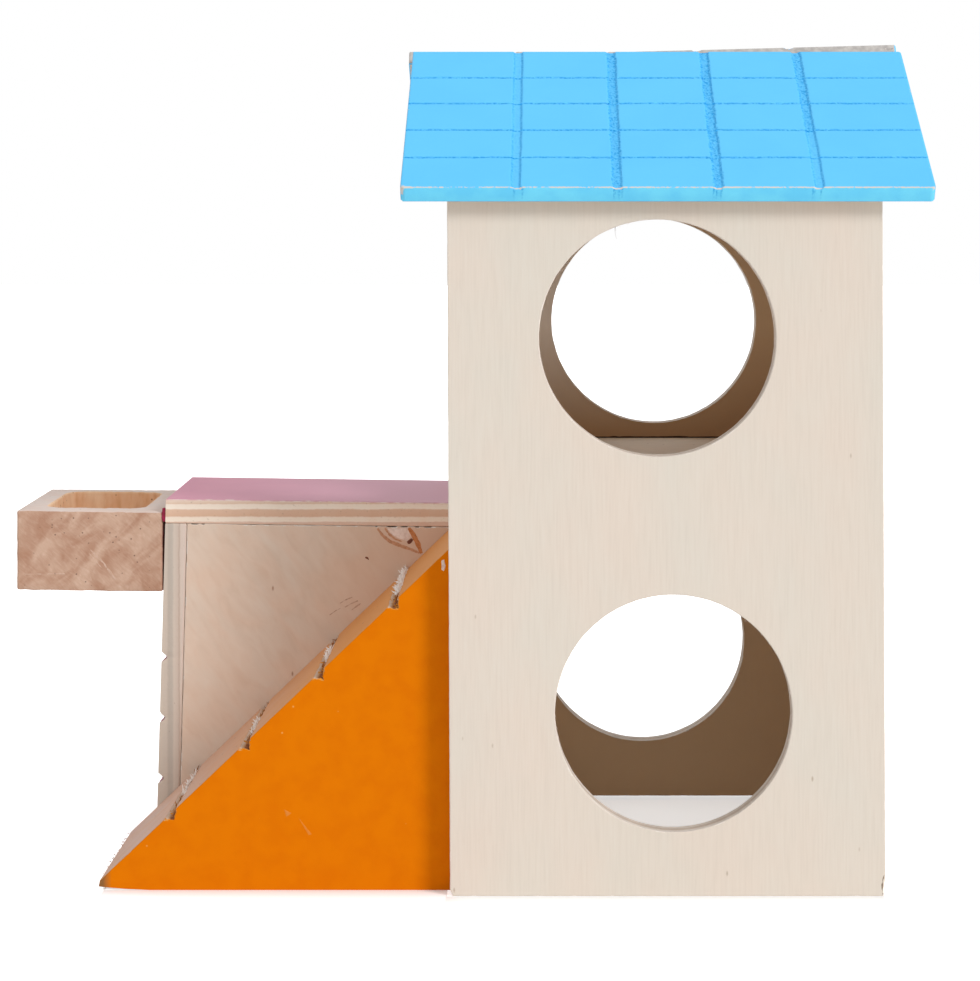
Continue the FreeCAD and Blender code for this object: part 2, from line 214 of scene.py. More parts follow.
def feed(tree: NodeTree, socket: Socket, value: object) -> None:
    """Gives an input its value.

    Args:
        tree: the input's tree.
        socket: the input.
        value: a constant, a hex colour, an output, or a node that stands for its first live one.
    """
    if isinstance(value, Node):
        value = next(output for output in value.outputs if output.enabled)
    if isinstance(value, Socket):
        tree.links.new(value, socket)
    else:
        socket.default_value = linear(value) if str(value).startswith("#") else value


def add_node(
    tree: NodeTree,
    kind: Kind,
    *values: object,
    stops: Sequence[tuple[float, str]] = (),
    **named: object,
) -> Node:
    """Adds a node with its settings and links.

    Args:
        tree: the tree that gets the node.
        kind: the node's kind.
        values: what its live inputs get, in order.
        stops: a colour ramp's places and hex colours, in order.
        named: what other inputs get, by name in lower case, with underscores for blanks.
    Returns:
        The new node.
    """
    type_name, settings = kind.value
    node = tree.nodes.new(type_name)
    for name, value in settings.items():
        setattr(node, name, value)
    live = [socket for socket in node.inputs if socket.enabled]
    for socket, value in zip(live, values):
        feed(tree, socket, value)
    for name, value in named.items():
        feed(tree, node.inputs[name.replace("_", " ").title()], value)
    if stops:
        ramp = node.color_ramp.elements
        ramp[0].position, ramp[1].position = stops[0][0], stops[-1][0]
        ramp[0].color, ramp[1].color = linear(stops[0][1]), linear(stops[-1][1])
        for place, colour in stops[1:-1]:
            ramp.new(place).color = linear(colour)
    return node


# Finishes


@dataclass(frozen=True)
class Drift:
    """A colour that a finish takes on across the house, between two places in mm."""

    colour: str
    start: float
    end: float
    axis: Axis = Axis.X


class Surface:
    """A material's nodes: its shader, and patterns over its Object coordinates."""

    def __init__(self, tree: NodeTree) -> None:
        """Takes up a new material.

        Args:
            tree: the material's tree, which holds its shader.
        """
        self.tree = tree
        self.shader = tree.nodes["Principled BSDF"]
        self.place = self.add(Kind.COORDINATES).outputs["Object"]

    def add(self, kind: Kind, *values: object, **named: object) -> Node:
        """Adds a node to the material."""
        return add_node(self.tree, kind, *values, **named)

    def scaled(self, place: object, size: Point) -> Node:
        """Stretches places so that a pattern of size 1 has a size in mm along each axis."""
        return self.add(Kind.MULTIPLY_VECTORS, place, [1 / (s * MM) for s in size])

    def noise(
        self,
        size: Point,
        turn: Point = (0.0, 0.0, 0.0),
        detail: float = 2.0,
        bend: float = 0.0,
    ) -> Node:
        """Adds a noise pattern.

        Args:
            size: the pattern's size along each axis, in mm.
            turn: how it is turned about each axis, in degrees.
            detail: how many finer patterns lie on it.
            bend: how much it is distorted.
        Returns:
            The pattern, round 0.5.
        """
        turned = self.add(Kind.MAPPING, self.place, rotation=[math.radians(t) for t in turn])
        scaled = self.scaled(turned, size)
        return self.add(Kind.NOISE, scaled, scale=1.0, detail=detail, distortion=bend)

    def spots(self, size: Point, share: float, rim: float, core: float) -> Node:
        """Adds soft spots in the middle of some of a pattern's cells.

        Args:
            size: the cells' size along each axis, in mm.
            share: the share of cells that have a spot.
            rim: how far from the middle a spot ends, as a share of its cell.
            core: how far from the middle it is full.
        Returns:
            The spots, 1 where they are full.
        """
        cells = self.add(Kind.CELLS, self.scaled(self.place, size), scale=1.0)
        near = self.add(Kind.RANGE, cells, rim, core)
        chance = self.add(Kind.SPLIT, cells.outputs["Color"])
        chosen = self.add(Kind.LESS_THAN, chance, share)
        return self.add(Kind.MULTIPLY, near, chosen)

    def drifted(self, colour: Node, drifts: Sequence[Drift]) -> Node:
        """Lets a colour drift towards others across the house.

        Args:
            colour: the colour.
            drifts: the others, one after another.
        Returns:
            The colour with its drifts.
        """
        for drift in drifts:
            number = drift.axis.value
            part = self.add(Kind.SPLIT, self.place).outputs[number]
            ends = [HOUSE[number] + end * MM for end in (drift.start, drift.end)]
            colour = self.add(Kind.MIX, self.add(Kind.RANGE, part, *ends), colour, drift.colour)
        return colour

    def finish(
        self,
        colour: Node,
        relief: Node,
        depth: float,
        roughness: float,
        gloss: float,
    ) -> None:
        """Gives the shader its colour, relief and gloss.

        Args:
            colour: the surface's colour.
            relief: the pattern that raises it.
            depth: how far, in mm.
            roughness: the surface's roughness.
            gloss: its specular level.
        """
        bump = self.add(Kind.BUMP, height=relief, distance=depth * MM, strength=0.6)
        given = {"Base Color": colour, "Normal": bump, "Roughness": roughness}
        for name, value in {**given, "Specular IOR Level": gloss}.items():
            feed(self.tree, self.shader.inputs[name], value)


@dataclass(frozen=True)
class Finish:
    """A surface finish, made once as a node material."""

    name: str

    def material(self) -> bpy.types.Material:
        """Gives the finish's material, making it on first use.

        Returns:
            The material.
        """
        made = bpy.data.materials.get(self.name)
        if made is None:
            made = bpy.data.materials.new(self.name)
            made.use_nodes = True
            self.dress(Surface(made.node_tree))
        return made

    def dress(self, surface: Surface) -> None:
        """Adds the finish's own nodes to a surface."""
        raise NotImplementedError


@dataclass(frozen=True)
class Wood(Finish):
    """Bare sanded wood: matt, with streaks along the grain, soft clouds and tiny pores."""

    base: str
    dark: str
    light: str
    cool: str
    warm: str
    # Size of the streaks and of the clouds along each axis, and how each is turned
    streak: Point = (0.5, 0.5, 9.0)
    cloud: Point = (22.0, 22.0, 40.0)
    turn: Point = (0.0, 0.0, 0.0)
    cloud_turn: Point = (0.0, 0.0, 0.0)
    tint: float = 0.5
    bend: float = 0.0
    # Pores: their colour, size and the share of cells that have one
    pore: str = "#8A6A50"
    pore_size: Point = (0.9, 0.9, 2.2)
    pores: float = 0.02
    # Colours down a cut, from its lip to its bottom; the darkening towards the bottom is painted
    # shade in the cut
    cut: tuple[tuple[float, str], ...] = ((0.0, "#D9CBBF"), (1.0, "#8A5F3C"))
    drifts: tuple[Drift, ...] = ()
    relief: float = 0.03
    roughness: float = 0.7
    gloss: float = 0.3

    def dress(self, surface: Surface) -> None:
        """Mixes streaks, clouds, pores and cuts over the base colour, the cuts darker towards their
        bottom as painted shade.

        Args:
            surface: the material's nodes.
        """
        add = surface.add
        grain = surface.noise(self.streak, self.turn, 3.0, self.bend)
        shades = [(0.25, self.dark), (0.5, self.base), (0.76, self.light)]
        colour = add(Kind.RAMP, grain, stops=shades)
        cloud = surface.noise(self.cloud, self.cloud_turn, 3.0, self.bend)
        tint = add(Kind.RAMP, cloud, stops=[(0.36, self.cool), (0.64, self.warm)])
        colour = surface.drifted(add(Kind.MIX, self.tint, colour, tint), self.drifts)
        pores = surface.spots(self.pore_size, self.pores, rim=0.34, core=0.12)
        colour = add(Kind.MIX, pores, colour, self.pore)
        carved = add(Kind.CARVED_MARK).outputs["Fac"]
        torn = surface.noise((0.5, 0.5, 0.5))
        depth = add(Kind.SUBTRACT, add(Kind.MULTIPLY_ADD, torn, 0.5, carved), 0.25)
        inside = add(Kind.RAMP, depth, stops=self.cut)
        colour = add(Kind.MIX, add(Kind.RANGE, carved, 0.02, 0.2), colour, inside)
        surface.finish(colour, grain, self.relief, self.roughness, self.gloss)


@dataclass(frozen=True)
class PlyEdge(Finish):
    """Sawn edge of plywood: its layers show as pale and tan bands, slightly torn."""

    axis: Axis
    start: float
    thickness: float = PLY
    layers: tuple[tuple[float, str], ...] = (
        (0.0, "#EEE4DA"),
        (0.3, "#E9DED3"),
        (0.36, "#D6C4B4"),
        (0.62, "#D8C8B9"),
        (0.68, "#EBE0D5"),
        (1.0, "#EEE4DA"),
    )
    fleck: str = "#7A5A42"
    flecks: float = 0.64
    # How far the layers' lines wander, finely and broadly, as shares of the thickness
    ragged: float = 0.06
    wander: float = 0.08
    roughness: float = 0.8

    def dress(self, surface: Surface) -> None:
        """Bands the colour along the thickness, with the lines wandering a little.

        Args:
            surface: the material's nodes.
        """
        add = surface.add
        rough = surface.noise((0.9, 0.9, 0.9), detail=3.0)
        slow = surface.noise((7.0, 7.0, 7.0))
        depth = add(Kind.SPLIT, surface.place).outputs[self.axis.value]
        low = HOUSE[self.axis.value] + self.start * MM
        share = add(Kind.RANGE, depth, low, low + self.thickness * MM)
        for pattern, size in ((rough, self.ragged), (slow, self.wander)):
            share = add(Kind.MULTIPLY_ADD, pattern, size, share)
        centred = add(Kind.SUBTRACT, share, (self.ragged + self.wander) / 2)
        bands = add(Kind.RAMP, centred, stops=self.layers)
        fine = surface.noise((0.45, 0.45, 0.45))
        spot = add(Kind.RANGE, fine, self.flecks, self.flecks + 0.12)
        colour = add(Kind.MIX, add(Kind.MULTIPLY, spot, 0.5), bands, self.fleck)
        surface.finish(colour, rough, 0.12, self.roughness, 0.3)


@dataclass(frozen=True)
class Paint(Finish):
    """Water-based matt toy paint on wood: even colour, worn at rims, and recoloured in torn cuts,
    where a darker colour is partly painted shade in the creases.
    """

    base: str
    cloudy: str
    # Its colour in cuts made after it had dried, where there are any; a darker one is partly painted
    # shade in the creases
    torn: str = ""
    bare: str = "#D6CEC4"
    cloud: float = 14.0
    # Specks of wood dust in the paint: their colour, size and the share of cells with one
    speck: str = "#FFFFFF"
    speck_size: float = 2.4
    specks: float = 0.0
    drifts: tuple[Drift, ...] = ()
    roughness: float = 0.6
    gloss: float = 0.2

    def dress(self, surface: Surface) -> None:
        """Clouds the paint, darkens it in cuts, partly as painted shade in the creases, and wears it
        off along rims.

        Args:
            surface: the material's nodes.
        """
        add = surface.add
        cloud = surface.noise((self.cloud,) * 3, detail=4.0)
        colour = add(Kind.RAMP, cloud, stops=[(0.38, self.cloudy), (0.6, self.base)])
        colour = surface.drifted(colour, self.drifts)
        if self.specks:
            specks = surface.spots((self.speck_size,) * 3, self.specks, rim=0.11, core=0.05)
            colour = add(Kind.MIX, specks, colour, self.speck)
        fibre = surface.noise((0.45, 0.45, 0.45), detail=3.0)
        if self.torn:
            broken = add(Kind.RANGE, fibre, 0.36, 0.58, 0.15, 1.0)
            carved = add(Kind.MULTIPLY, add(Kind.CARVED_MARK).outputs["Fac"], broken)
            colour = add(Kind.MIX, carved, colour, self.torn)
        edge = add(Kind.ADD, add(Kind.WORN_MARK).outputs["Fac"], fibre)
        colour = add(Kind.MIX, add(Kind.RANGE, edge, 0.93, 1.08), colour, self.bare)
        surface.finish(colour, fibre, 0.03, self.roughness, self.gloss)


@dataclass(frozen=True)
class Scrap(Finish):
    """Torn wood fibre, dried glue or knot bark: one colour, mottled and dull."""

    base: str
    other: str
    size: float = 0.5

    def dress(self, surface: Surface) -> None:
        """Mottles the colour.

        Args:
            surface: the material's nodes.
        """
        mottle = surface.noise((self.size,) * 3, detail=3.0)
        stops = [(0.35, self.other), (0.62, self.base)]
        surface.finish(surface.add(Kind.RAMP, mottle, stops=stops), mottle, 0.1, 0.85, 0.2)


# Poplar face veneer, sanded: pale and even, so that its short streaks hardly show
FRONT_VENEER = Wood(
    "poplar_ply_face",
    base="#DFD3C5",
    dark="#D8CCBE",
    light="#E2D8CB",
    cool="#DAD3C7",
    warm="#E1D1C3",
    pores=0.003,
    pore="#BFAE9C",
)
# The same veneer inside the rooms, made browner as painted shade for the warm dim light in there
SHADED_INNER_VENEER = Wood(
    "poplar_ply_face_inside",
    base="#E4C7A5",
    dark="#DDBE9A",
    light="#E8CEAE",
    cool="#E0C8A8",
    warm="#E4C19C",
    streak=(1.2, 1.2, 9.0),
    cloud=(14.0, 14.0, 18.0),
    pores=0.002,
)
# Low room's panels: pinkish veneer with feathered figure, darker and warmer towards the tower as
# painted shade from it
PANEL_VENEER = Wood(
    "poplar_ply_face_panel",
    base="#E4CCB8",
    dark="#DABFA9",
    light="#E9D5C3",
    cool="#E0CDBC",
    warm="#E4C6B0",
    streak=(2.2, 2.2, 6.0),
    cloud=(7.0, 7.0, 12.0),
    turn=(0.0, 35.0, 0.0),
    cloud_turn=(0.0, 35.0, 0.0),
    bend=0.6,
    # Painted shade: darker and warmer towards the tower
    drifts=(Drift("#D6B299", -36.0, 6.0),),
    pores=0.004,
    pore="#B08A74",
)
# Back wall's inner face: paler on the left as painted light, and browner low down in the upper room
# as painted shade
BACK_VENEER_LIT_AND_SHADED = Wood(
    "poplar_ply_face_back_inside",
    base="#FBF0E4",
    dark="#F5E8D9",
    light="#FDF4EA",
    cool="#F8EEE2",
    warm="#FBECDC",
    streak=(1.2, 1.2, 9.0),
    cloud=(14.0, 14.0, 18.0),
    pores=0.002,
    drifts=(
        Drift("#E4C7A5", 20.0, 52.0),
        Drift("#B99470", 116.0, 90.0, Axis.Z),
        Drift("#E4C7A5", 88.0, 84.0, Axis.Z),
    ),
)
# Upper floor: the veneer's grain runs from left to right
FLOOR_VENEER = Wood(
    "poplar_ply_face_floor",
    base="#EAD9C4",
    dark="#DCC8B0",
    light="#F0E2D0",
    cool="#E6D8C6",
    warm="#EAD4BE",
    streak=(9.0, 0.5, 0.5),
)
# Sky blue paint under plain varnish, cut by the scoring after it had dried; its darker blue in the
# cuts is partly torn paint and partly painted shade in the creases
BLUE_PAINT = Paint(
    "sky_blue_matt_paint", base="#65CBFF", cloudy="#63C9FE", torn="#1499E0", bare="#D9D2CA"
)
# The same paint on the eave's end grain, made lighter as painted light since that face gets little of
# the key light; cloudy with brushing
EAVE_PAINT_LIT = Paint(
    "sky_blue_paint_on_end_grain",
    base="#75DDFF",
    cloudy="#69D2FC",
    torn="#1499E0",
    bare="#D9D2CA",
    cloud=7.0,
)
# Rose paint, pinker at the outer end and lighter and greyer towards the tower: painted light that
# lifts the tower's shadow on the terrace
ROSE_PAINT = Paint(
    "rose_matt_paint",
    base="#E2A0B4",
    cloudy="#DD9BB0",
    torn="#B07F8C",
    bare="#EBD9D2",
    # Painted light: lighter and greyer towards the tower
    drifts=(Drift("#DFB0C0", -62.0, -8.0),),
)
# Crimson paint; its cuts went through to the grey wood
CRIMSON_PAINT = Paint(
    "crimson_matt_paint", base="#B42A5C", cloudy="#AC2656", torn="#A39084", bare="#CDBDB0"
)
# Orange paint, thick and saturated, with some wood dust in it
ORANGE_PAINT = Paint(
    "orange_matt_paint",
    base="#E07801",
    cloudy="#DC7301",
    bare="#CFB090",
    cloud=5.0,
    speck="#E8A050",
    specks=0.07,
    drifts=(Drift("#8F6238", -71.6, -73.4),),
    gloss=0.03,
)
# Pine slope of the ramp: pinkish at the toe; higher up orange-brown, partly orange overspray and
# partly painted shade and warm bounce light beside the panel
BARE_SLOPE = Wood(
    "bare_pine_slope",
    base="#D8B4A0",
    dark="#C79C86",
    light="#E2C4B4",
    cool="#D6B8AC",
    warm="#D8AA8C",
    streak=(7.0, 0.6, 7.0),
    cloud=(9.0, 5.0, 9.0),
    # Painted shade: the cut colour darkens to brown towards each groove's bottom
    cut=((0.2, "#E0C8B4"), (0.55, "#D6AE8A"), (0.85, "#B87C46"), (1.05, "#8E4E24")),
    # Partly painted shade and bounce light, partly orange overspray
    drifts=(Drift("#DC9656", -66.0, -22.0),),
)
# Pine block of the bowl: mottled figure that runs askew, with a few open pores
BOWL_WOOD = Wood(
    "bare_pine_bowl",
    base="#C4A08A",
    dark="#B68E76",
    light="#D6B8A4",
    cool="#D0B09A",
    warm="#A47459",
    streak=(0.6, 0.6, 2.2),
    cloud=(5.0, 12.0, 8.0),
    turn=(0.0, 48.0, 12.0),
    cloud_turn=(0.0, -48.0, 12.0),
    tint=0.6,
    bend=0.9,
    pore="#6E5444",
    pore_size=(0.7, 0.7, 0.7),
    pores=0.07,
    relief=0.06,
)
# The bowl's rim, sanded smooth: paler and more even
BOWL_TOP_WOOD = Wood(
    "sanded_pine_rim",
    base="#E2D0C6",
    dark="#D8C0B3",
    light="#E9DBD3",
    cool="#DFD1CA",
    warm="#E0C6B8",
    streak=(6.0, 0.6, 2.0),
    cloud=(6.0, 6.0, 6.0),
)
# The routed pocket: yellower fresh wood with open pores
BOWL_POCKET_WOOD = Wood(
    "routed_pine_pocket",
    base="#EFCAA6",
    dark="#D6A880",
    light="#F5D8BA",
    cool="#EED0B0",
    warm="#DCA678",
    streak=(1.4, 1.4, 5.0),
    cloud=(5.0, 5.0, 8.0),
    pore="#6E5444",
    pore_size=(0.8, 0.8, 0.8),
    pores=0.04,
)
# Sawn ends and sides of the thin roof boards, grey with dust
ROOF_EDGE = Scrap("raw_board_edge", base="#CCC7C2", other="#B4AFAC", size=1.6)
# Plain underside of the roof boards
ROOF_UNDERSIDE = Scrap("raw_board_face", base="#EEE6DA", other="#E2D8CA", size=3.0)
# Fibres torn up by the saw
PALE_FIBRE = Scrap("pale_torn_fibre", base="#FBF2EC", other="#EEDDD2")
GREY_FIBRE = Scrap("grey_torn_fibre", base="#A9A29C", other="#8F8882")
BROWN_FIBRE = Scrap("brown_torn_fibre", base="#B06C30", other="#7C461C")
# Knot in the panel: its bark ring, its heart and the filler in its eye
KNOT_BARK = Scrap("knot_bark", base="#D09C7C", other="#BA8564")
KNOT_HEART = Scrap("knot_heart", base="#CC8858", other="#B87244")
KNOT_PIT = Scrap("knot_pit", base="#855040", other="#6C4030")
KNOT_FILLER = Scrap("knot_filler", base="#F6E2D8", other="#E2C9BC", size=0.9)
# Outer wall's plywood: five thin layers under the crimson paint
OUTER_WALL_EDGE = PlyEdge(
    "ply_edge_annex_left_wall",
    Axis.X,
    -ANNEX_LENGTH,
    layers=(
        (0.0, "#D9CABB"),
        (0.2, "#D6C7B9"),
        (0.3, "#C6B9AC"),
        (0.46, "#C8BCB0"),
        (0.54, "#D9CABC"),
        (0.72, "#D4C2B4"),
        (0.78, "#C6B0A0"),
        (0.84, "#DCCBBE"),
        (1.0, "#E0CEC2"),
    ),
    flecks=0.72,
)
# Terrace's plywood: five layers, dark and pale in turn
TERRACE_EDGE = PlyEdge(
    "ply_edge_terrace",
    Axis.Z,
    ANNEX_HEIGHT,
    TERRACE_THICKNESS,
    layers=(
        (0.0, "#E4C4B0"),
        (0.12, "#E2C2AE"),
        (0.17, "#F6E6D4"),
        (0.33, "#F4E2D0"),
        (0.38, "#DDB79C"),
        (0.64, "#E2BFA6"),
        (0.69, "#F8EADA"),
        (0.86, "#F4E4D4"),
        (0.9, "#E2C4AC"),
        (0.97, "#E8D0BE"),
    ),
    flecks=0.67,
)
# Rim where the rose paint ran thin, paler also as a painted highlight along the rounded top edge
ROSE_RIM_HIGHLIGHT = Scrap("worn_rose_rim", base="#EBD6CE", other="#DDAFB0", size=1.6)
# Rim where the orange paint ran thin
ORANGE_RIM = Scrap("worn_orange_rim", base="#E2902E", other="#C98A44", size=0.8)
# Scratches: light ones on the bowl, faint dark ones on the front panel
SCRATCH = Scrap("light_scratch", base="#D2B5A2", other="#C6A38D", size=0.8)
DARK_SCRATCH = Scrap("dark_scratch", base="#C9A691", other="#B8927C", size=0.6)
# Shade in an open joint, and in a crack of the veneer
JOINT_SHADE = Scrap("open_glue_joint", base="#33241A", other="#20160F", size=1.5)
CRACK_SHADE = Scrap("open_veneer_crack", base="#8F7D6C", other="#75624F", size=0.8)
# Crimson paint that ran into the gap behind the bowl
CRIMSON_SMUDGE = Scrap("crimson_smudge", base="#A32A4C", other="#7E2A3A", size=1.2)
# Dried drop of wood glue: pale and a little pink
GLUE = Scrap("dried_glue", base="#E6D0C4", other="#D6B8A8", size=0.8)
# Orange paint where it was rubbed: paler and duller
SCUFF = Scrap("scuffed_orange_paint", base="#DB8638", other="#DD7C1C", size=0.9)


# Meshes


def new_piece(name: str, mesh: Mesh) -> Piece:
    """Makes an object at the origin and links it to the scene.

    Args:
        name: the piece's name.
        mesh: its mesh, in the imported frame.
    Returns:
        The object.
    """
    piece = bpy.data.objects.new(name, mesh)
    bpy.context.scene.collection.objects.link(piece)
    return piece


def smooth_mesh(mesh: Mesh, sharp_degrees: float) -> None:
    """Shades four-sided faces smooth and flat cuts, which are of other faces, flat.

    Args:
        mesh: the mesh.
        sharp_degrees: the angle past which an edge stays crisp.
    """
    mesh.shade_smooth()
    mesh.set_sharp_from_angle(angle=math.radians(sharp_degrees))
    for face in mesh.polygons:
        face.use_smooth = len(face.vertices) == 4


def write_closed(mesh: WorkMesh, data: Mesh) -> None:
    """Turns a closed working mesh's faces outwards, writes it to a plain mesh and frees it.

    Args:
        mesh: the working mesh.
        data: the plain mesh that takes it.
    """
    bmesh.ops.recalc_face_normals(mesh, faces=mesh.faces)
    mesh.to_mesh(data)
    mesh.free()


def finished_mesh(name: str, mesh: WorkMesh, sharp_degrees: float) -> Mesh:
    """Makes a closed working mesh a plain, shaded one.

    Args:
        name: the new mesh's name.
        mesh: the working mesh, which is freed.
        sharp_degrees: the angle past which an edge stays crisp.
    Returns:
        The plain mesh.
    """
    data = bpy.data.meshes.new(name)
    write_closed(mesh, data)
    smooth_mesh(data, sharp_degrees)
    return data


def store(mesh: Mesh, name: str, values: Sequence) -> None:
    """Stores one number or one vector for each vertex.

    Args:
        mesh: the mesh.
        name: the attribute's name.
        values: the numbers or vectors, in the vertices' order.
    """
    rows = np.array(values, dtype=np.float32)
    kind, key = ("FLOAT_VECTOR", "vector") if rows.ndim > 1 else ("FLOAT", "value")
    mesh.attributes.new(name, kind, "POINT").data.foreach_set(key, rows.ravel())


def dress(piece: Piece, finish: Finish, others: Sequence[tuple[Finish, FaceTest]] = ()) -> None:
    """Gives each face its finish.

    Args:
        piece: the piece to dress.
        finish: the finish of every face that no test picks.
        others: more finishes, each with a test of a face's centre and normal.
    """
    mesh = piece.data
    mesh.materials.clear()
    for each in (finish, *(other for other, _ in others)):
        mesh.materials.append(each.material())
    for face in mesh.polygons:
        centre = (face.center - HOUSE) / MM
        picks = (n for n, (_, test) in enumerate(others, 1) if test(centre, face.normal))
        face.material_index = next(picks, 0)


def hand_over(piece: Piece, slot: str, *nodes: str) -> None:
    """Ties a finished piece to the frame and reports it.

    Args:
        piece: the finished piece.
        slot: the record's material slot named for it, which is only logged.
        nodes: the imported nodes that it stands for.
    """
    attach(piece, "root")
    if nodes:
        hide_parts(*nodes)
    LOG.info("%s: %d faces, slot %s", piece.name, len(piece.data.polygons), slot)


def wobble(place: Sequence[float], grain: float, size: float) -> float:
    """Gives a smooth chance value between -size and size at a place, both in mm."""
    return size * noise.noise(Vector(place) / grain)


def spaced(start: float, stop: float, step: float) -> list[float]:
    """Gives evenly spaced numbers from start to stop, both kept, at most a step apart."""
    return list(np.linspace(start, stop, max(2, math.ceil((stop - start) / step) + 1)))


def rectangle(left: float, low: float, right: float, high: float) -> list[Flat]:
    """Gives a rectangle's corners."""
    return [(left, low), (right, low), (right, high), (left, high)]


def divided(start: Flat, end: Flat, count: int) -> list[Flat]:
    """Divides a line.

    Args:
        start: where it starts, which is kept.
        end: where it ends, which is left out.
        count: how many points are given.
    Returns:
        The points, evenly spaced.
    """
    (a0, b0), (a1, b1) = start, end
    return [(a0 + (a1 - a0) * n / count, b0 + (b1 - b0) * n / count) for n in range(count)]


def link(mesh: WorkMesh, rings: Sequence[Sequence[bmesh.types.BMVert]]) -> None:
    """Links rings of vertices by four-sided faces, each ring to the next.

    Args:
        mesh: the working mesh.
        rings: the rings, all with as many vertices.
    """
    for low, high in zip(rings, rings[1:]):
        for n, corner in enumerate(low):
            m = (n + 1) % len(low)
            mesh.faces.new((corner, low[m], high[m], high[n]))


def lofted(rings: Sequence[Sequence[Point]]) -> WorkMesh:
    """Makes a closed body over rings of places.

    Args:
        rings: the rings' places in the house frame, in mm.
    Returns:
        The working mesh, with both ends filled.
    """
    mesh = bmesh.new()
    made = [[mesh.verts.new(placed(spot)) for spot in ring] for ring in rings]
    link(mesh, made)
    mesh.faces.new(list(reversed(made[0])))
    mesh.faces.new(made[-1])
    return mesh


@dataclass
class Doorway:
    """A round doorway in a board's plane."""

    across: float
    up: float
    diameter: float
    points: int = 160

    def loop(self, slack: float = 0.0) -> list[Flat]:
        """Gives the doorway's rim.

        Args:
            slack: how much wider than the doorway it is, in mm.
        Returns:
            The rim's points.
        """
        radius = self.diameter / 2 + slack
        turns = (2 * math.pi * n / self.points for n in range(self.points))
        return [
            (self.across + radius * math.cos(turn), self.up + radius * math.sin(turn))
            for turn in turns
        ]


@dataclass
class PlyBoard:
    """A flat plywood board with eased, slightly torn edges and round doorways."""

    name: str
    axis: Axis
    start: float
    outline: list[Flat]
    doorways: list[Doorway] = field(default_factory=list)
    thickness: float = PLY
    ease: float = 0.2
    torn: float = 0.07
    step: float = 1.0
    settle: Settle = unmoved

    def edge_loop(self) -> list[Flat]:
        """Gives the outline with points closely spaced along each side.

        Returns:
            The points.
        """
        loop = []
        for start, end in zip(self.outline, self.outline[1:] + self.outline[:1]):
            count = max(1, math.ceil(math.dist(start, end) / self.step))
            loop += divided(start, end, count)
        return loop

    def rings(self, loop: list[Flat], inward: float) -> list[list[Point]]:
        """Lays out a loop's wall as rings of places, from the first face to the second.

        Args:
            loop: the wall's line in the board's plane.
            inward: 1 where the wood lies to the left of the loop, -1 to its right.
        Returns:
            The rings.
        """
        flat = np.array(loop)
        run = np.roll(flat, -1, axis=0) - flat
        run /= np.linalg.norm(run, axis=1)[:, None]
        side = np.stack([-run[:, 1], run[:, 0]], axis=1) * inward
        into = side + np.roll(side, 1, axis=0)
        into /= np.maximum((into * side).sum(axis=1), 0.5)[:, None]
        e, t = self.ease, self.thickness
        profile = [(e, 0), (0.3 * e, 0.3 * e), (0, e), (0, t - e), (0.3 * e, t - 0.3 * e), (e, t)]
        made = []
        for number, (inset, depth) in enumerate(profile):
            ring = []
            for (a, b), (da, db) in zip(loop, into):
                shift = inset + abs(wobble((a, b, number * 0.8 + self.start), 0.9, self.torn))
                shift += abs(wobble((a, b, number * 0.4), 3.5, self.torn))
                place = self.axis.lift(a + da * shift, b + db * shift, self.start + depth)
                ring.append(self.settle(place))
            made.append(ring)
        return made

    def build(self) -> Piece:
        """Builds the board as a closed mesh.

        Returns:
            The board.
        """
        mesh = bmesh.new()
        caps: list[list[bmesh.types.BMEdge]] = [[], []]
        loops = [(self.edge_loop(), 1.0)] + [(d.loop(), -1.0) for d in self.doorways]
        for loop, inward in loops:
            spots = self.rings(loop, inward)
            rings = [[mesh.verts.new(placed(spot)) for spot in ring] for ring in spots]
            link(mesh, rings)
            for cap, ring in zip(caps, (rings[0], rings[-1])):
                for n, corner in enumerate(ring):
                    cap.append(mesh.edges.get((corner, ring[(n + 1) % len(ring)])))
        for cap in caps:
            bmesh.ops.triangle_fill(mesh, use_beauty=True, use_dissolve=False, edges=cap)
        return new_piece(self.name, finished_mesh(self.name, mesh, 18.0))

    def facing(self, side: float) -> FaceTest:
        """Gives a test for the board's flat face that looks along side times its axis."""
        number = self.axis.value
        return lambda centre, normal: normal[number] * side > 0.9


# Geometry Nodes


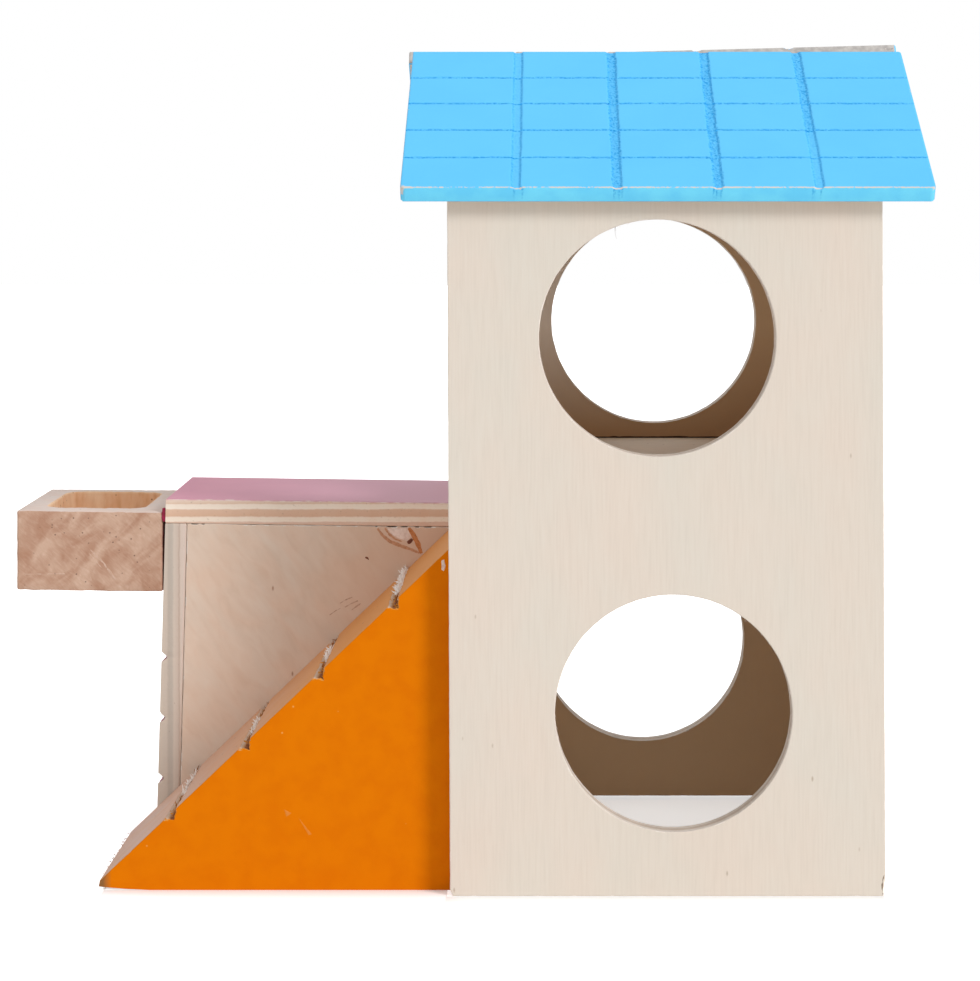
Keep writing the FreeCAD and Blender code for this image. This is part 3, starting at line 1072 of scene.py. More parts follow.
class GeometryTree:
    """A Geometry Nodes tree with named inputs, whose result is made a plain mesh."""

    def __init__(self, name: str, inputs: dict[str, str]) -> None:
        """Starts the tree.

        Args:
            name: the tree's name.
            inputs: each input's name and its socket's type.
        """
        self.tree = bpy.data.node_groups.new(name, "GeometryNodeTree")
        face = self.tree.interface
        face.new_socket("Geometry", in_out="INPUT", socket_type="NodeSocketGeometry")
        for title, kind in inputs.items():
            face.new_socket(title, in_out="INPUT", socket_type=kind)
        face.new_socket("Geometry", in_out="OUTPUT", socket_type="NodeSocketGeometry")
        self.given = self.add(Kind.TREE_INPUTS).outputs

    def add(self, kind: Kind, *values: object, **named: object) -> Node:
        """Adds a node to the tree."""
        return add_node(self.tree, kind, *values, **named)

    def chance(self, kind: Kind, low: object, high: object, number: float) -> Node:
        """Adds a random value for each point, with its own number added to the tree's seed."""
        return self.add(kind, low, high, seed=self.add(Kind.ADD, self.given["Seed"], number))

    def close(self, geometry: Node) -> None:
        """Ends the tree in real geometry with its finish."""
        real = self.add(Kind.REALIZE, geometry)
        self.add(Kind.TREE_RESULT, self.add(Kind.SET_MATERIAL, real, material=self.given["Finish"]))

    def run(self, piece: Piece, **values: object) -> None:
        """Runs the tree on a piece and leaves the result as its plain mesh.

        Args:
            piece: the object whose mesh the tree starts from.
            values: each input's value, with underscores for the blanks in its name.
        """
        step = piece.modifiers.new(self.tree.name, "NODES")
        step.node_group = self.tree
        for item in self.tree.interface.items_tree:
            title = item.name.replace(" ", "_").lower()
            if item.in_out == "INPUT" and title in values:
                step[item.identifier] = values[title]
        graph = bpy.context.evaluated_depsgraph_get()
        mesh = bpy.data.meshes.new_from_object(
            piece.evaluated_get(graph), preserve_all_data_layers=True, depsgraph=graph
        )
        piece.modifiers.remove(step)
        piece.data = mesh


class ScoringTree(GeometryTree):
    """Cuts evenly spaced grooves down and across a board, with torn, wandering edges."""

    def __init__(self) -> None:
        """Builds the tree."""
        inputs = {"Up": "NodeSocketVector", "Finish": "NodeSocketMaterial"}
        for line, cut in (("Column", "Groove"), ("Row", "Score")):
            sizes = (f"First {line}", f"{line} Pitch", f"{cut} Width", f"{cut} Depth", f"{cut} Slope")
            inputs |= dict.fromkeys(sizes, "NodeSocketFloat") | {f"{line}s": "NodeSocketInt"}
        inputs |= dict.fromkeys(("Tear", "Grain", "Top", "Seed"), "NodeSocketFloat")
        super().__init__("score_board", inputs)
        add, given = self.add, self.given
        self.place = add(Kind.READ_VECTOR, PLACE)
        self.ragged = ragged = add(Kind.READ_NUMBER, RAGGED)
        across, along, height = add(Kind.SPLIT, self.place).outputs
        groove = self.cuts(across, "Column", "Groove", 0.0)
        score = self.cuts(along, "Row", "Score", 1.0)
        groove_depth = add(Kind.MULTIPLY, groove, given["Groove Depth"])
        score_depth = add(Kind.MULTIPLY, score, given["Score Depth"])
        pit = self.pattern(given["Seed"], 1.3, 3.0)
        rough = add(Kind.MULTIPLY, add(Kind.SUBTRACT, pit, 0.5), ragged)
        uneven = add(Kind.MULTIPLY_ADD, rough, -0.6, 1.0)
        on_top = add(Kind.GREATER_THAN, height, given["Top"])
        depth = add(Kind.MULTIPLY, add(Kind.MAXIMUM, groove_depth, score_depth), on_top)
        cut = add(Kind.MULTIPLY, depth, uneven)
        # Groove walls are marked, their floors only in spots, and the whole of a score; the marks
        # darken the paint there, partly as painted shade in the creases
        rising = add(Kind.MULTIPLY, groove, add(Kind.SUBTRACT, 1.0, groove))
        floor = add(Kind.MULTIPLY, add(Kind.MAXIMUM, rough, 0.0), groove)
        faint = add(Kind.MULTIPLY, add(Kind.MULTIPLY, groove, ragged), 0.2)
        spots = add(Kind.MULTIPLY_ADD, floor, 5.0, faint)
        walls = add(Kind.MULTIPLY_ADD, rising, 2.6, spots)
        grooved = add(Kind.GREATER_THAN, given["Groove Depth"], 0.0)
        scored = add(Kind.GREATER_THAN, given["Score Depth"], 0.0)
        groove_marks = add(Kind.MULTIPLY, walls, grooved)
        score_marks = add(Kind.MULTIPLY, add(Kind.MULTIPLY, score, 1.8), scored)
        marks = add(Kind.MAXIMUM, groove_marks, score_marks)
        carved = add(Kind.MULTIPLY, add(Kind.MINIMUM, marks, 1.0), on_top)
        marked = add(Kind.STORE_NUMBER, given["Geometry"], name=CARVED, value=carved)
        down = add(Kind.SCALE_VECTOR, given["Up"], add(Kind.MULTIPLY, cut, -1.0))
        self.close(add(Kind.MOVE, marked, offset=down))

    def cuts(self, part: Socket, line: str, cut: str, number: float) -> Node:
        """Adds evenly spaced cuts with torn edges.

        Args:
            part: the place across the cuts.
            line: what the inputs call the cuts' lines, Column or Row.
            cut: what they call the cuts themselves, Groove or Score.
            number: what is added to the seed.
        Returns:
            How far down the cuts' walls a place lies, from 0 to 1.
        """
        add, given = self.add, self.given
        first, pitch = given[f"First {line}"], given[f"{line} Pitch"]
        seed = add(Kind.ADD, given["Seed"], number)
        broken, broad = self.pattern(seed, 1.0, 3.0), self.pattern(seed, 0.09, 1.0)
        own = add(Kind.MULTIPLY, add(Kind.SUBTRACT, broken, 0.5), self.ragged)
        both = add(Kind.MULTIPLY_ADD, add(Kind.SUBTRACT, broad, 0.5), 0.5, own)
        torn = add(Kind.MULTIPLY_ADD, both, given["Tear"], part)
        steps = add(Kind.ROUND, add(Kind.DIVIDE, add(Kind.SUBTRACT, torn, first), pitch))
        last = add(Kind.SUBTRACT, given[f"{line}s"], 1.0)
        kept = add(Kind.MINIMUM, add(Kind.MAXIMUM, steps, 0.0), last)
        middle = add(Kind.MULTIPLY_ADD, kept, pitch, first)
        away = add(Kind.ABSOLUTE, add(Kind.SUBTRACT, torn, middle))
        half = add(Kind.MULTIPLY, given[f"{cut} Width"], 0.5)
        slope = add(Kind.MULTIPLY, half, given[f"{cut} Slope"])
        wall = add(Kind.DIVIDE, add(Kind.SUBTRACT, half, away), slope)
        return add(Kind.MINIMUM, add(Kind.MAXIMUM, wall, 0.0), 1.0)

    def pattern(self, seed: object, times: float, detail: float) -> Node:
        """Adds a seeded noise pattern round 0.5, some times as fine as the Grain input says."""
        fine = self.add(Kind.DIVIDE, 1.0, self.given["Grain"])
        scale = self.add(Kind.MULTIPLY, fine, times)
        return self.add(Kind.SEEDED_NOISE, self.place, w=seed, scale=scale, detail=detail)


class FibreTree(GeometryTree):
    """Raises torn fibres along a path: thin bent slivers that lean their own ways."""

    def __init__(self) -> None:
        """Builds the tree."""
        sizes = ("Length", "Thickness", "Bend", "Spread", "Jitter", "Seed")
        inputs = {"Count": "NodeSocketInt", "Finish": "NodeSocketMaterial"}
        super().__init__("raise_fibres", inputs | dict.fromkeys(sizes, "NodeSocketFloat"))
        add, given = self.add, self.given
        low, high = (-1.0, -1.0, -1.0), (1.0, 1.0, 1.0)
        path = add(Kind.PATH, given["Geometry"])
        spots = add(Kind.RESAMPLE, path, count=given["Count"])
        swing = self.chance(Kind.RANDOM_VECTOR, low, high, 1.0)
        spots = add(Kind.MOVE, spots, offset=add(Kind.SCALE_VECTOR, swing, given["Jitter"]))
        sliver = add(
            Kind.CONE,
            vertices=5,
            side_segments=4,
            radius_top=add(Kind.MULTIPLY, given["Thickness"], 0.12),
            radius_bottom=add(Kind.MULTIPLY, given["Thickness"], 0.5),
            depth=given["Length"],
        )
        height = add(Kind.SPLIT, add(Kind.POSITION)).outputs["Z"]
        share = add(Kind.DIVIDE, height, given["Length"])
        bow = add(Kind.MULTIPLY, add(Kind.MULTIPLY, share, share), given["Bend"])
        sliver = add(Kind.MOVE, sliver, offset=add(Kind.JOIN, bow))
        tilt = self.chance(Kind.RANDOM_VECTOR, low, high, 2.0)
        leaning = add(Kind.SCALE_VECTOR, tilt, given["Spread"])
        way = add(Kind.ADD_VECTORS, add(Kind.READ_VECTOR, FIBRE_WAY), leaning)
        turn = self.chance(Kind.RANDOM_NUMBER, 0.0, 2 * math.pi, 3.0)
        spin = add(Kind.SPIN, (0.0, 0.0, 1.0), turn)
        turned = add(Kind.ALIGN, spin, vector=way)
        size = self.chance(Kind.RANDOM_NUMBER, 0.35, 1.0, 4.0)
        self.close(add(Kind.INSTANCES, spots, instance=sliver, rotation=turned, scale=size))


@dataclass(frozen=True)
class Fibres:
    """Torn fibres along a path, in mm."""

    name: str
    path: list[Point]
    way: Point
    count: int
    length: float
    thickness: float
    finish: Finish
    slot: str
    spread: float
    jitter: float
    seed: float
    # How far a fibre's tip bends aside, as a share of its length
    bend: float = 0.35

    def build(self, tree: FibreTree) -> None:
        """Raises the fibres and hands them over.

        Args:
            tree: the tree that raises them.
        """
        mesh = bpy.data.meshes.new(self.name)
        edges = [(n, n + 1) for n in range(len(self.path) - 1)]
        mesh.from_pydata([placed(spot) for spot in self.path], edges, [])
        store(mesh, FIBRE_WAY, [self.way] * len(self.path))
        piece = new_piece(self.name, mesh)
        tree.run(
            piece,
            count=self.count,
            length=self.length * MM,
            thickness=self.thickness * MM,
            bend=self.bend * self.length * MM,
            spread=self.spread,
            jitter=self.jitter * MM,
            seed=self.seed,
            finish=self.finish.material(),
        )
        hand_over(piece, self.slot)


class Mark:
    """Something small and closed on a face that looks forwards."""

    finish: Finish

    def rings(self) -> list[list[Point]]:
        """Gives the mark's rings of places, in mm."""
        raise NotImplementedError

    def build(self, name: str, slot: str) -> None:
        """Builds the mark and hands it over.

        Args:
            name: the piece's name.
            slot: the record's material slot.
        """
        piece = new_piece(name, finished_mesh(name, lofted(self.rings()), 40.0))
        dress(piece, self.finish)
        hand_over(piece, slot)


@dataclass(frozen=True)
class Strip(Mark):
    """A strip of bark, fibre or shade just proud of its face, narrower at both ends."""

    line: tuple[Flat, ...]
    width: float
    finish: Finish
    face: float = ANNEX_FRONT
    proud: float = 0.05
    sunk: float = 0.25

    def rings(self) -> list[list[Point]]:
        """Gives the strip's cross sections along its line.

        Returns:
            The rings.
        """
        points: list[Flat] = []
        for start, end in zip(self.line, self.line[1:]):
            points += divided(start, end, 6)
        points.append(self.line[-1])
        count = len(points)
        rings = []
        for n, (x, z) in enumerate(points):
            (xa, za), (xb, zb) = points[max(n - 1, 0)], points[min(n + 1, count - 1)]
            run = math.hypot(xb - xa, zb - za)
            dx, dz = -(zb - za) / run, (xb - xa) / run
            swell = 0.6 + 0.4 * math.sin(math.pi * n / (count - 1))
            half = self.width / 2 * swell + wobble((x, z, self.width), 0.6, 0.14)
            profile = [(-1, -self.sunk), (-1, 0), (0, self.proud), (1, 0), (1, -self.sunk)]
            rings.append(
                [(x + dx * half * s, self.face - out, z + dz * half * s) for s, out in profile]
            )
        return rings


@dataclass(frozen=True)
class Patch(Mark):
    """A low, lumpy drop of filler, glue or paint on its face."""

    outline: tuple[Flat, ...]
    finish: Finish
    face: float = ANNEX_FRONT
    proud: float = 0.07
    sunk: float = 0.25

    def rings(self) -> list[list[Point]]:
        """Gives the drop's rings, from its hidden foot to its top.

        Returns:
            The rings.
        """
        cx = sum(x for x, _ in self.outline) / len(self.outline)
        cz = sum(z for _, z in self.outline) / len(self.outline)
        rim: list[Flat] = []
        for start, end in zip(self.outline, self.outline[1:] + self.outline[:1]):
            rim += divided(start, end, 5)
        rings = []
        for share, out in ((1.0, -self.sunk), (1.0, 0.0), (0.85, 1.0), (0.5, 1.5), (0.2, 1.2)):
            ring = []
            for x, z in rim:
                px, pz = cx + (x - cx) * share, cz + (z - cz) * share
                px += wobble((x, z, 1.0), 0.7, 0.12) * share
                lump = 1 + wobble((px, pz, 3.0), 0.8, 0.8)
                height = out * self.proud * lump if out > 0 else out
                ring.append((px, self.face - height, pz))
            rings.append(ring)
        return rings


@dataclass(frozen=True)
class Scoring:
    """How a board is scored, in mm: wide grooves along it and fine scores across."""

    first_column: float = 0.0
    column_pitch: float = 1000.0
    columns: int = 1
    groove_width: float = 0.5
    groove_depth: float = 0.0
    groove_slope: float = 0.6
    first_row: float = 0.0
    row_pitch: float = 1000.0
    rows: int = 1
    score_width: float = 0.5
    score_depth: float = 0.0
    score_slope: float = 0.8
    tear: float = 0.5
    grain: float = 0.8
    seed: float = 1.0

    def column_lines(self) -> list[float]:
        """Gives the grooves' places, or none where they have no depth."""
        count = self.columns if self.groove_depth else 0
        return [self.first_column + n * self.column_pitch for n in range(count)]

    def row_lines(self) -> list[float]:
        """Gives the scores' places, or none where they have no depth."""
        count = self.rows if self.score_depth else 0
        return [self.first_row + n * self.row_pitch for n in range(count)]

    def cut(self, tree: ScoringTree, piece: Piece, up: Point, top: float, finish: Finish) -> None:
        """Cuts the grooves into a piece.

        Args:
            tree: the tree that cuts.
            piece: the piece, whose vertices hold their place on the board.
            up: the way out of the board.
            top: the height on the board above which a vertex is cut, in mm.
            finish: the finish that the tree leaves on the piece.
        """
        plain = ("columns", "rows", "groove_slope", "score_slope", "seed")
        sizes = {
            each.name: getattr(self, each.name) * (1 if each.name in plain else MM)
            for each in fields(self)
        }
        tree.run(piece, **sizes, top=top * MM, up=up, finish=finish.material())


def nowhere(*place: float) -> float:
    """Gives no wear, or no sinking, at any place on a board."""
    return 0.0


def everywhere(*place: float) -> float:
    """Gives full tearing at any place on a board."""
    return 1.0


def stations(
    length: float, coarse: float, ease: float, lines: list[float], reach: float, fine: float
) -> list[float]:
    """Gives places along a side: coarse ones, and fine ones in cuts and at both ends.

    Args:
        length: the side's length.
        coarse: the step between cuts.
        ease: the rounding at both ends.
        lines: the cuts' middles.
        reach: how far a cut reaches to each side of its middle.
        fine: the step inside a cut.
    Returns:
        The places, in order, all in mm.
    """
    ends = [0.0, 0.3 * ease, ease, 2 * ease]
    places = {*spaced(0.0, length, coarse), *ends, *(length - end for end in ends)}
    for line in lines:
        inside = set(spaced(line - reach, line + reach, fine))
        places = {p for p in places if abs(p - line) > reach + 0.05} | inside
    kept: list[float] = []
    for place in sorted(places):
        if 0.0 <= place <= length and (not kept or place - kept[-1] > 0.04 or place == length):
            kept.append(place)
    return kept


def eased(distance: float, ease: float) -> float:
    """Gives how far a rounded face drops at a distance from its rim."""
    short = max(0.0, ease - distance)
    return ease - math.sqrt(ease**2 - short**2)


@dataclass
class ScoredBoard:
    """A board whose outer face is scored: a fine closed mesh cut by the scoring tree.

    On the board, u runs along it, v down it and w out of it.
    """

    name: str
    corner: Point
    along: Point
    down: Point
    up: Point
    length: float
    height: float
    thickness: float
    scoring: Scoring
    # How far each corner is rounded off: top left, top right, low right and low left
    corners: tuple[float, float, float, float] = (0.3, 0.3, 0.3, 0.3)
    # How far the top edge stops short of the left and the right side
    taper: Flat = (0.0, 0.0)
    # How far the top edge has sunk at a place along it, and which way
    sunk: Callable[[float], float] = nowhere
    sink: Point = (0.0, 0.0, 0.0)
    worn: Callable[[float, float], float] = nowhere
    ragged: Callable[[float, float], float] = everywhere
    settle: Settle = unmoved
    ease: float = 0.3
    coarse: tuple[float, float] = (0.6, 0.6)
    fine: tuple[float, float] = (0.2, 0.14)
    foot: float = 0.25

    def inset(self, v: float, above: float, below: float) -> float:
        """Gives how far a side is drawn in at v by its two rounded corners.

        Args:
            v: the place down the board.
            above: the upper corner's radius.
            below: the lower one's.
        Returns:
            The distance, in mm.
        """
        inward = 0.0
        for radius, distance in ((above, v), (below, self.height - v)):
            short = max(0.0, radius - distance)
            inward = max(inward, radius - math.sqrt(max(0.0, radius**2 - short**2)))
        return inward

    def lift(self, u: float, v: float, w: float) -> Vector:
        """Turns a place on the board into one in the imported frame.

        Args:
            u: the place along it.
            v: the place down it.
            w: the height on it.
        Returns:
            The place, in metres.
        """
        top_left, top_right, low_right, low_left = self.corners
        left = self.inset(v, top_left, low_left) + self.taper[0] * (1 - v / self.height)
        right = self.inset(v, top_right, low_right) + self.taper[1] * (1 - v / self.height)
        u = left + u * (self.length - left - right) / self.length
        drop = self.sunk(u) * (1 - v / self.height)
        axes = zip(self.corner, self.along, self.down, self.up, self.sink)
        spot = [c + a * u + d * v + n * w + s * drop for c, a, d, n, s in axes]
        return placed(self.settle(spot))

    def build(self, tree: ScoringTree, finish: Finish) -> Piece:
        """Builds the board.

        Args:
            tree: the tree that cuts its grooves.
            finish: the finish of its outer face.
        Returns:
            The scored board.
        """
        cut = self.scoring
        reach = 0.6 * cut.tear + 0.1
        us, vs = (
            stations(size, coarse, self.ease, places, width / 2 + reach, fine)
            for size, coarse, places, width, fine in (
                (self.length, self.coarse[0], cut.column_lines(), cut.groove_width, self.fine[0]),
                (self.height, self.coarse[1], cut.row_lines(), cut.score_width, self.fine[1]),
            )
        )
        spots: list[Point] = []
        for v in vs:
            for u in us:
                rim = min(u, self.length - u, v, self.height - v)
                spots.append((u, v, self.thickness - eased(rim, self.ease)))
        wide, tall = len(us), len(vs)
        faces = [
            (r * wide + c, r * wide + c + 1, (r + 1) * wide + c + 1, (r + 1) * wide + c)
            for r in range(tall - 1)
            for c in range(wide - 1)
        ]
        rim_loop = list(range(wide))
        rim_loop += [r * wide + wide - 1 for r in range(1, tall)]
        rim_loop += [(tall - 1) * wide + c for c in range(wide - 2, -1, -1)]
        rim_loop += [r * wide for r in range(tall - 2, 0, -1)]
        count = len(rim_loop)
        loop = rim_loop
        for height, inset in ((self.foot, 0.0), (0.0, self.foot)):
            base = len(spots)
            for n in rim_loop:
                u, v, _ = spots[n]
                u = min(max(u, inset), self.length - inset)
                v = min(max(v, inset), self.height - inset)
                spots.append((u, v, height))
            ring = list(range(base, base + count))
            for n in range(count):
                m = (n + 1) % count
                faces.append((loop[n], ring[n], ring[m], loop[m]))
            loop = ring
        faces.append(tuple(reversed(loop)))
        plain = bpy.data.meshes.new(self.name)
        plain.from_pydata([self.lift(*spot) for spot in spots], [], faces)
        store(plain, PLACE, np.array(spots, dtype=np.float32) * MM)
        store(plain, RAGGED, [self.ragged(u, v) for u, v, _ in spots])
        store(plain, WORN, [self.worn(u, v) if w > self.foot else 0.0 for u, v, w in spots])
        closed = bmesh.new()
        closed.from_mesh(plain)
        write_closed(closed, plain)
        piece = new_piece(self.name, plain)
        cut.cut(tree, piece, self.up, 0.5 * self.thickness, finish)
        smooth_mesh(piece.data, 28.0)
        return piece


# Sub-assemblies


@dataclass
class Studio:
    """The photograph's camera, a pale floor and soft light from the right front."""

    eye: Point = (18.4, -533.8, 145.9)
    lens: float = 92.84
    image: tuple[int, int] = (980, 981)
    vanishing: Flat = (534.0, 205.0)
    floor_half: float = 4000.0
    paper: str = "#F0F0F0"
    # The floor glows white to the camera, but less so inside the tower and close to it: painted shade
    # for the dim floor in the tower and the contact shadow at its foot
    shaded_glow: float = 0.56
    contact_glow: float = 0.1
    contact: float = 16.0
    # What the tower, the ramp and the low room cover of it, along X and Y
    feet: tuple[tuple[Flat, Flat], ...] = (
        ((0.0, TOWER_WIDTH), (0.0, TOWER_DEPTH)),
        ((-73.0, 0.0), (PLY, ANNEX_FRONT)),
        ((-64.0, 0.0), (40.0, TOWER_DEPTH)),
    )
    key_azimuth: float = 49.0
    key_elevation: float = 27.0
    key_spread: float = 18.0
    key_strength: float = 1.7
    sky: float = 0.66

    def camera(self) -> None:
        """Makes the camera, level and looking straight back, with the photo's shift."""
        lens = bpy.data.cameras.new("front_camera")
        lens.lens = self.lens
        lens.clip_start, lens.clip_end = 0.01, 50.0
        wide, tall = self.image
        side = max(wide, tall)
        lens.shift_x = (wide / 2 - self.vanishing[0]) / side
        lens.shift_y = (self.vanishing[1] - tall / 2) / side
        camera = bpy.data.objects.new("front_camera", lens)
        camera.location = placed(self.eye)
        camera.rotation_euler = (math.pi / 2, 0.0, 0.0)
        bpy.context.scene.collection.objects.link(camera)
        bpy.context.scene.camera = camera

    def background_rays(self, tree: NodeTree) -> Node:
        """Tells the rays that should see a white background from those that light.

        Args:
            tree: the tree that asks.
        Returns:
            1 for the first kind of rays, 0 for the other.
        """
        rays = add_node(tree, Kind.RAYS).outputs
        seen = rays["Is Camera Ray"]
        for name in ("Is Glossy Ray", "Is Transmission Ray"):
            seen = add_node(tree, Kind.MAXIMUM, seen, rays[name])
        return seen

    def outside(self, tree: NodeTree, parts: Sequence[Socket], foot: Sequence[Flat]) -> Node:
        """Gives 1 on the open floor and 0 inside a footprint, with a soft front edge.

        Args:
            tree: the floor's material.
            parts: the place's own parts.
            foot: for X and Y, where the footprint starts and ends, in mm.
        Returns:
            The share.
        """
        share = None
        for number, (start, end) in enumerate(foot):
            soft = self.contact if number else 1.0
            low, high = HOUSE[number] + start * MM, HOUSE[number] + end * MM
            for rim, clear in ((low, low - soft * MM), (high, high + MM)):
                edge = add_node(tree, Kind.RANGE, parts[number], rim, clear)
                share = edge if share is None else add_node(tree, Kind.MAXIMUM, share, edge)
        return share

    def floor(self) -> None:
        """Lays the pale floor, which shows white to the camera but keeps the shadow, with painted
        shade where its glow is cut inside and near the house.
        """
        half = self.floor_half * MM
        corners = [(-half, -half, 0), (half, -half, 0), (half, half, 0), (-half, half, 0)]
        mesh = bpy.data.meshes.new("studio_floor")
        mesh.from_pydata(corners, [], [(0, 1, 2, 3)])
        paper = bpy.data.materials.new("white_paper")
        paper.use_nodes = True
        tree = paper.node_tree
        shader = tree.nodes["Principled BSDF"]
        shader.inputs["Base Color"].default_value = linear(self.paper)
        shader.inputs["Roughness"].default_value = 0.9
        place = add_node(tree, Kind.COORDINATES).outputs["Object"]
        parts = add_node(tree, Kind.SPLIT, place).outputs
        shares = [self.outside(tree, parts, foot) for foot in self.feet]
        away = shares[0]
        for share in shares:
            away = add_node(tree, Kind.MINIMUM, away, share)
        # Painted shade: the glow drops inside the footprints and at their front edges
        near = add_node(tree, Kind.RANGE, away, to_min=self.contact_glow, to_max=1.0)
        under = add_node(tree, Kind.LESS_THAN, away, 0.001)
        more = self.shaded_glow - self.contact_glow
        glow = add_node(tree, Kind.MULTIPLY_ADD, under, more, near)
        strength = add_node(tree, Kind.MULTIPLY, glow, self.background_rays(tree))
        light = add_node(tree, Kind.GLOW, "#FFFFFF", strength)
        lit = add_node(tree, Kind.BOTH_SHADERS, shader, light)
        feed(tree, tree.nodes["Material Output"].inputs["Surface"], lit)
        mesh.materials.append(paper)
        new_piece("studio_floor", mesh)

    def light(self) -> None:
        """Adds the soft key light and an even sky that the camera sees as white."""
        sun = bpy.data.lights.new("key_light", "SUN")
        sun.energy = self.key_strength
        sun.angle = math.radians(self.key_spread)
        lamp = bpy.data.objects.new("key_light", sun)
        azimuth, elevation = math.radians(self.key_azimuth), math.radians(self.key_elevation)
        lamp.rotation_euler = (math.pi / 2 - elevation, 0.0, azimuth)
        bpy.context.scene.collection.objects.link(lamp)
        world = bpy.data.worlds.new("soft_sky")
        bpy.context.scene.world = world
        world.use_nodes = True
        tree = world.node_tree
        sky = tree.nodes["Background"]
        lift = add_node(tree, Kind.MULTIPLY_ADD, self.background_rays(tree), 1 - self.sky, self.sky)
        feed(tree, sky.inputs["Color"], "#FFFFFF")
        feed(tree, sky.inputs["Strength"], lift)

    def build(self) -> None:
        """Sets up the whole studio."""
        self.camera()
        self.floor()
        self.light()
        bpy.context.scene.view_settings.view_transform = "Standard"


@dataclass
class Tower:
    """The two-storey tower: four plywood walls and the upper floor."""

    doorway: float = 50.0
    low: float = 38.6
    high: float = 117.8
    # Places across of the front wall's lower and upper doorway
    front_across: Flat = (47.4, 44.35)
    # The back wall was glued a little high; its doorways lie askew to the front ones
    back_lift: float = 0.9
    back_across: Flat = (44.4, 47.6)
    back_heights: Flat = (39.45, 117.5)
    floor_top: float = 88.8
    # Painted shade: a dark strip along the joint between the upper floor and the back wall
    joint_start: float = 6.0
    joint_end: float = 86.0
    joint_width: float = 0.42
    corner_chips: tuple[Flat, ...] = ((0.6, 0.0), (91.55, 0.0), (91.62, 1.6), (92.0, 4.2))
    # Crack in the front wall's veneer, at the lower right corner, drawn as a strip of painted shade
    crack: Strip = Strip(
        ((92.3, 4.5), (91.9, 3.2), (91.85, 1.6), (92.05, 0.4)), 0.24, CRACK_SHADE, 0.0, 0.02
    )

    def gable(self) -> list[Flat]:
        """Gives a side wall's outline between the front and back walls.

        Returns:
            The outline's corners.
        """
        tilt = math.tan(math.radians(ROOF_PITCH))
        middle = TOWER_DEPTH / 2
        eave, apex = WALL_HEIGHT + PLY * tilt, WALL_HEIGHT + middle * tilt
        back = TOWER_DEPTH - PLY
        return [(PLY, 0), (back, 0), (back, eave), (middle, apex), (PLY, eave)]

    def wall(self, board: PlyBoard, outer: float, inner: Finish) -> None:
        """Builds and dresses one of the tower's boards.

        Args:
            board: the board.
            outer: which of its faces looks outwards, -1 or 1, or 0 where none does.
            inner: the finish of the faces inside the tower.
        """
        piece = board.build()
        edge = PlyEdge(f"ply_edge_{board.name}", board.axis, board.start)
        others = [(FRONT_VENEER, board.facing(outer))] if outer else []
        others += [(inner, board.facing(1)), (inner, board.facing(-1))]
        dress(piece, edge, others)
        hand_over(piece, "bare_plywood", board.name)

    def walls(self) -> list[tuple[PlyBoard, float, Finish]]:
        """Lays out the tower's boards.

        Returns:
            Each board with the way that its outer face looks and its inner finish.
        """
        back, right = TOWER_DEPTH - PLY, TOWER_WIDTH - PLY
        chips = self.corner_chips
        front_outline = [*chips, (TOWER_WIDTH, WALL_HEIGHT), (0, WALL_HEIGHT), (0, 1.5)]
        heights = (self.low, self.high)
        front_doors, back_doors = (
            [Doorway(across, up, self.doorway) for across, up in zip(places, ups)]
            for places, ups in ((self.front_across, heights), (self.back_across, self.back_heights))
        )
        back_outline = rectangle(0, self.back_lift, TOWER_WIDTH, WALL_HEIGHT)
        side_door = [Doorway(TOWER_DEPTH / 2, self.high, self.doorway)]
        inside = rectangle(PLY, PLY, right, back)
        named = {"settle": tower_settle}
        front = PlyBoard("tower_front_wall", Axis.Y, 0.0, front_outline, front_doors, **named)
        rear = PlyBoard("tower_back_wall", Axis.Y, back, back_outline, back_doors, **named)
        left = PlyBoard("tower_left_wall", Axis.X, 0.0, self.gable(), side_door, **named)
        other = PlyBoard("tower_right_wall", Axis.X, right, self.gable(), **named)
        floor = PlyBoard("upper_floor", Axis.Z, self.floor_top - PLY, inside, **named)
        return [
            (front, -1.0, SHADED_INNER_VENEER),
            (rear, 1.0, BACK_VENEER_LIT_AND_SHADED),
            (left, -1.0, SHADED_INNER_VENEER),
            (other, 1.0, SHADED_INNER_VENEER),
            (floor, 0.0, FLOOR_VENEER),
        ]

    def hairs(self, tree: FibreTree) -> None:
        """Raises hairs of veneer on the front doorways' rims, a long one among them.

        Args:
            tree: the tree that raises them.
        """
        for number, (across, up) in enumerate(zip(self.front_across, (self.low, self.high))):
            rim = Doorway(across, up, self.doorway).loop(-0.05)
            Fibres(
                f"doorway_hairs_{number}",
                path=[tower_settle((a, 0.15, b)) for a, b in rim],
                way=(0.0, -0.3, 0.0),
                count=70,
                length=0.75,
                thickness=0.09,
                finish=PALE_FIBRE,
                slot="bare_plywood",
                spread=1.0,
                jitter=0.08,
                seed=5.0 + number,
            ).build(tree)
        Fibres(
            "doorway_long_hair",
            path=[(35.6, 0.1, 141.6), (35.75, 0.1, 141.7)],
            way=(-0.25, -0.05, -1.0),
            count=2,
            length=3.2,
            thickness=0.14,
            finish=GREY_FIBRE,
            slot="bare_plywood",
            spread=0.05,
            jitter=0.0,
            seed=8.0,
        ).build(tree)

    def build(self, fibres: FibreTree) -> None:
        """Builds the tower.

        Args:
            fibres: the tree that raises torn fibres.
        """
        for board, outer, inner in self.walls():
            self.wall(board, outer, inner)
        self.hairs(fibres)
        up, back = self.floor_top + 0.12, TOWER_DEPTH - PLY
        places = [(x, up) for x in spaced(self.joint_start, self.joint_end, 8.0)]
        joint = Strip(tuple(places), self.joint_width, JOINT_SHADE, back, 0.03)
        joint.build("upper_floor_joint", "bare_plywood")
        self.crack.build("front_wall_crack", "bare_plywood")


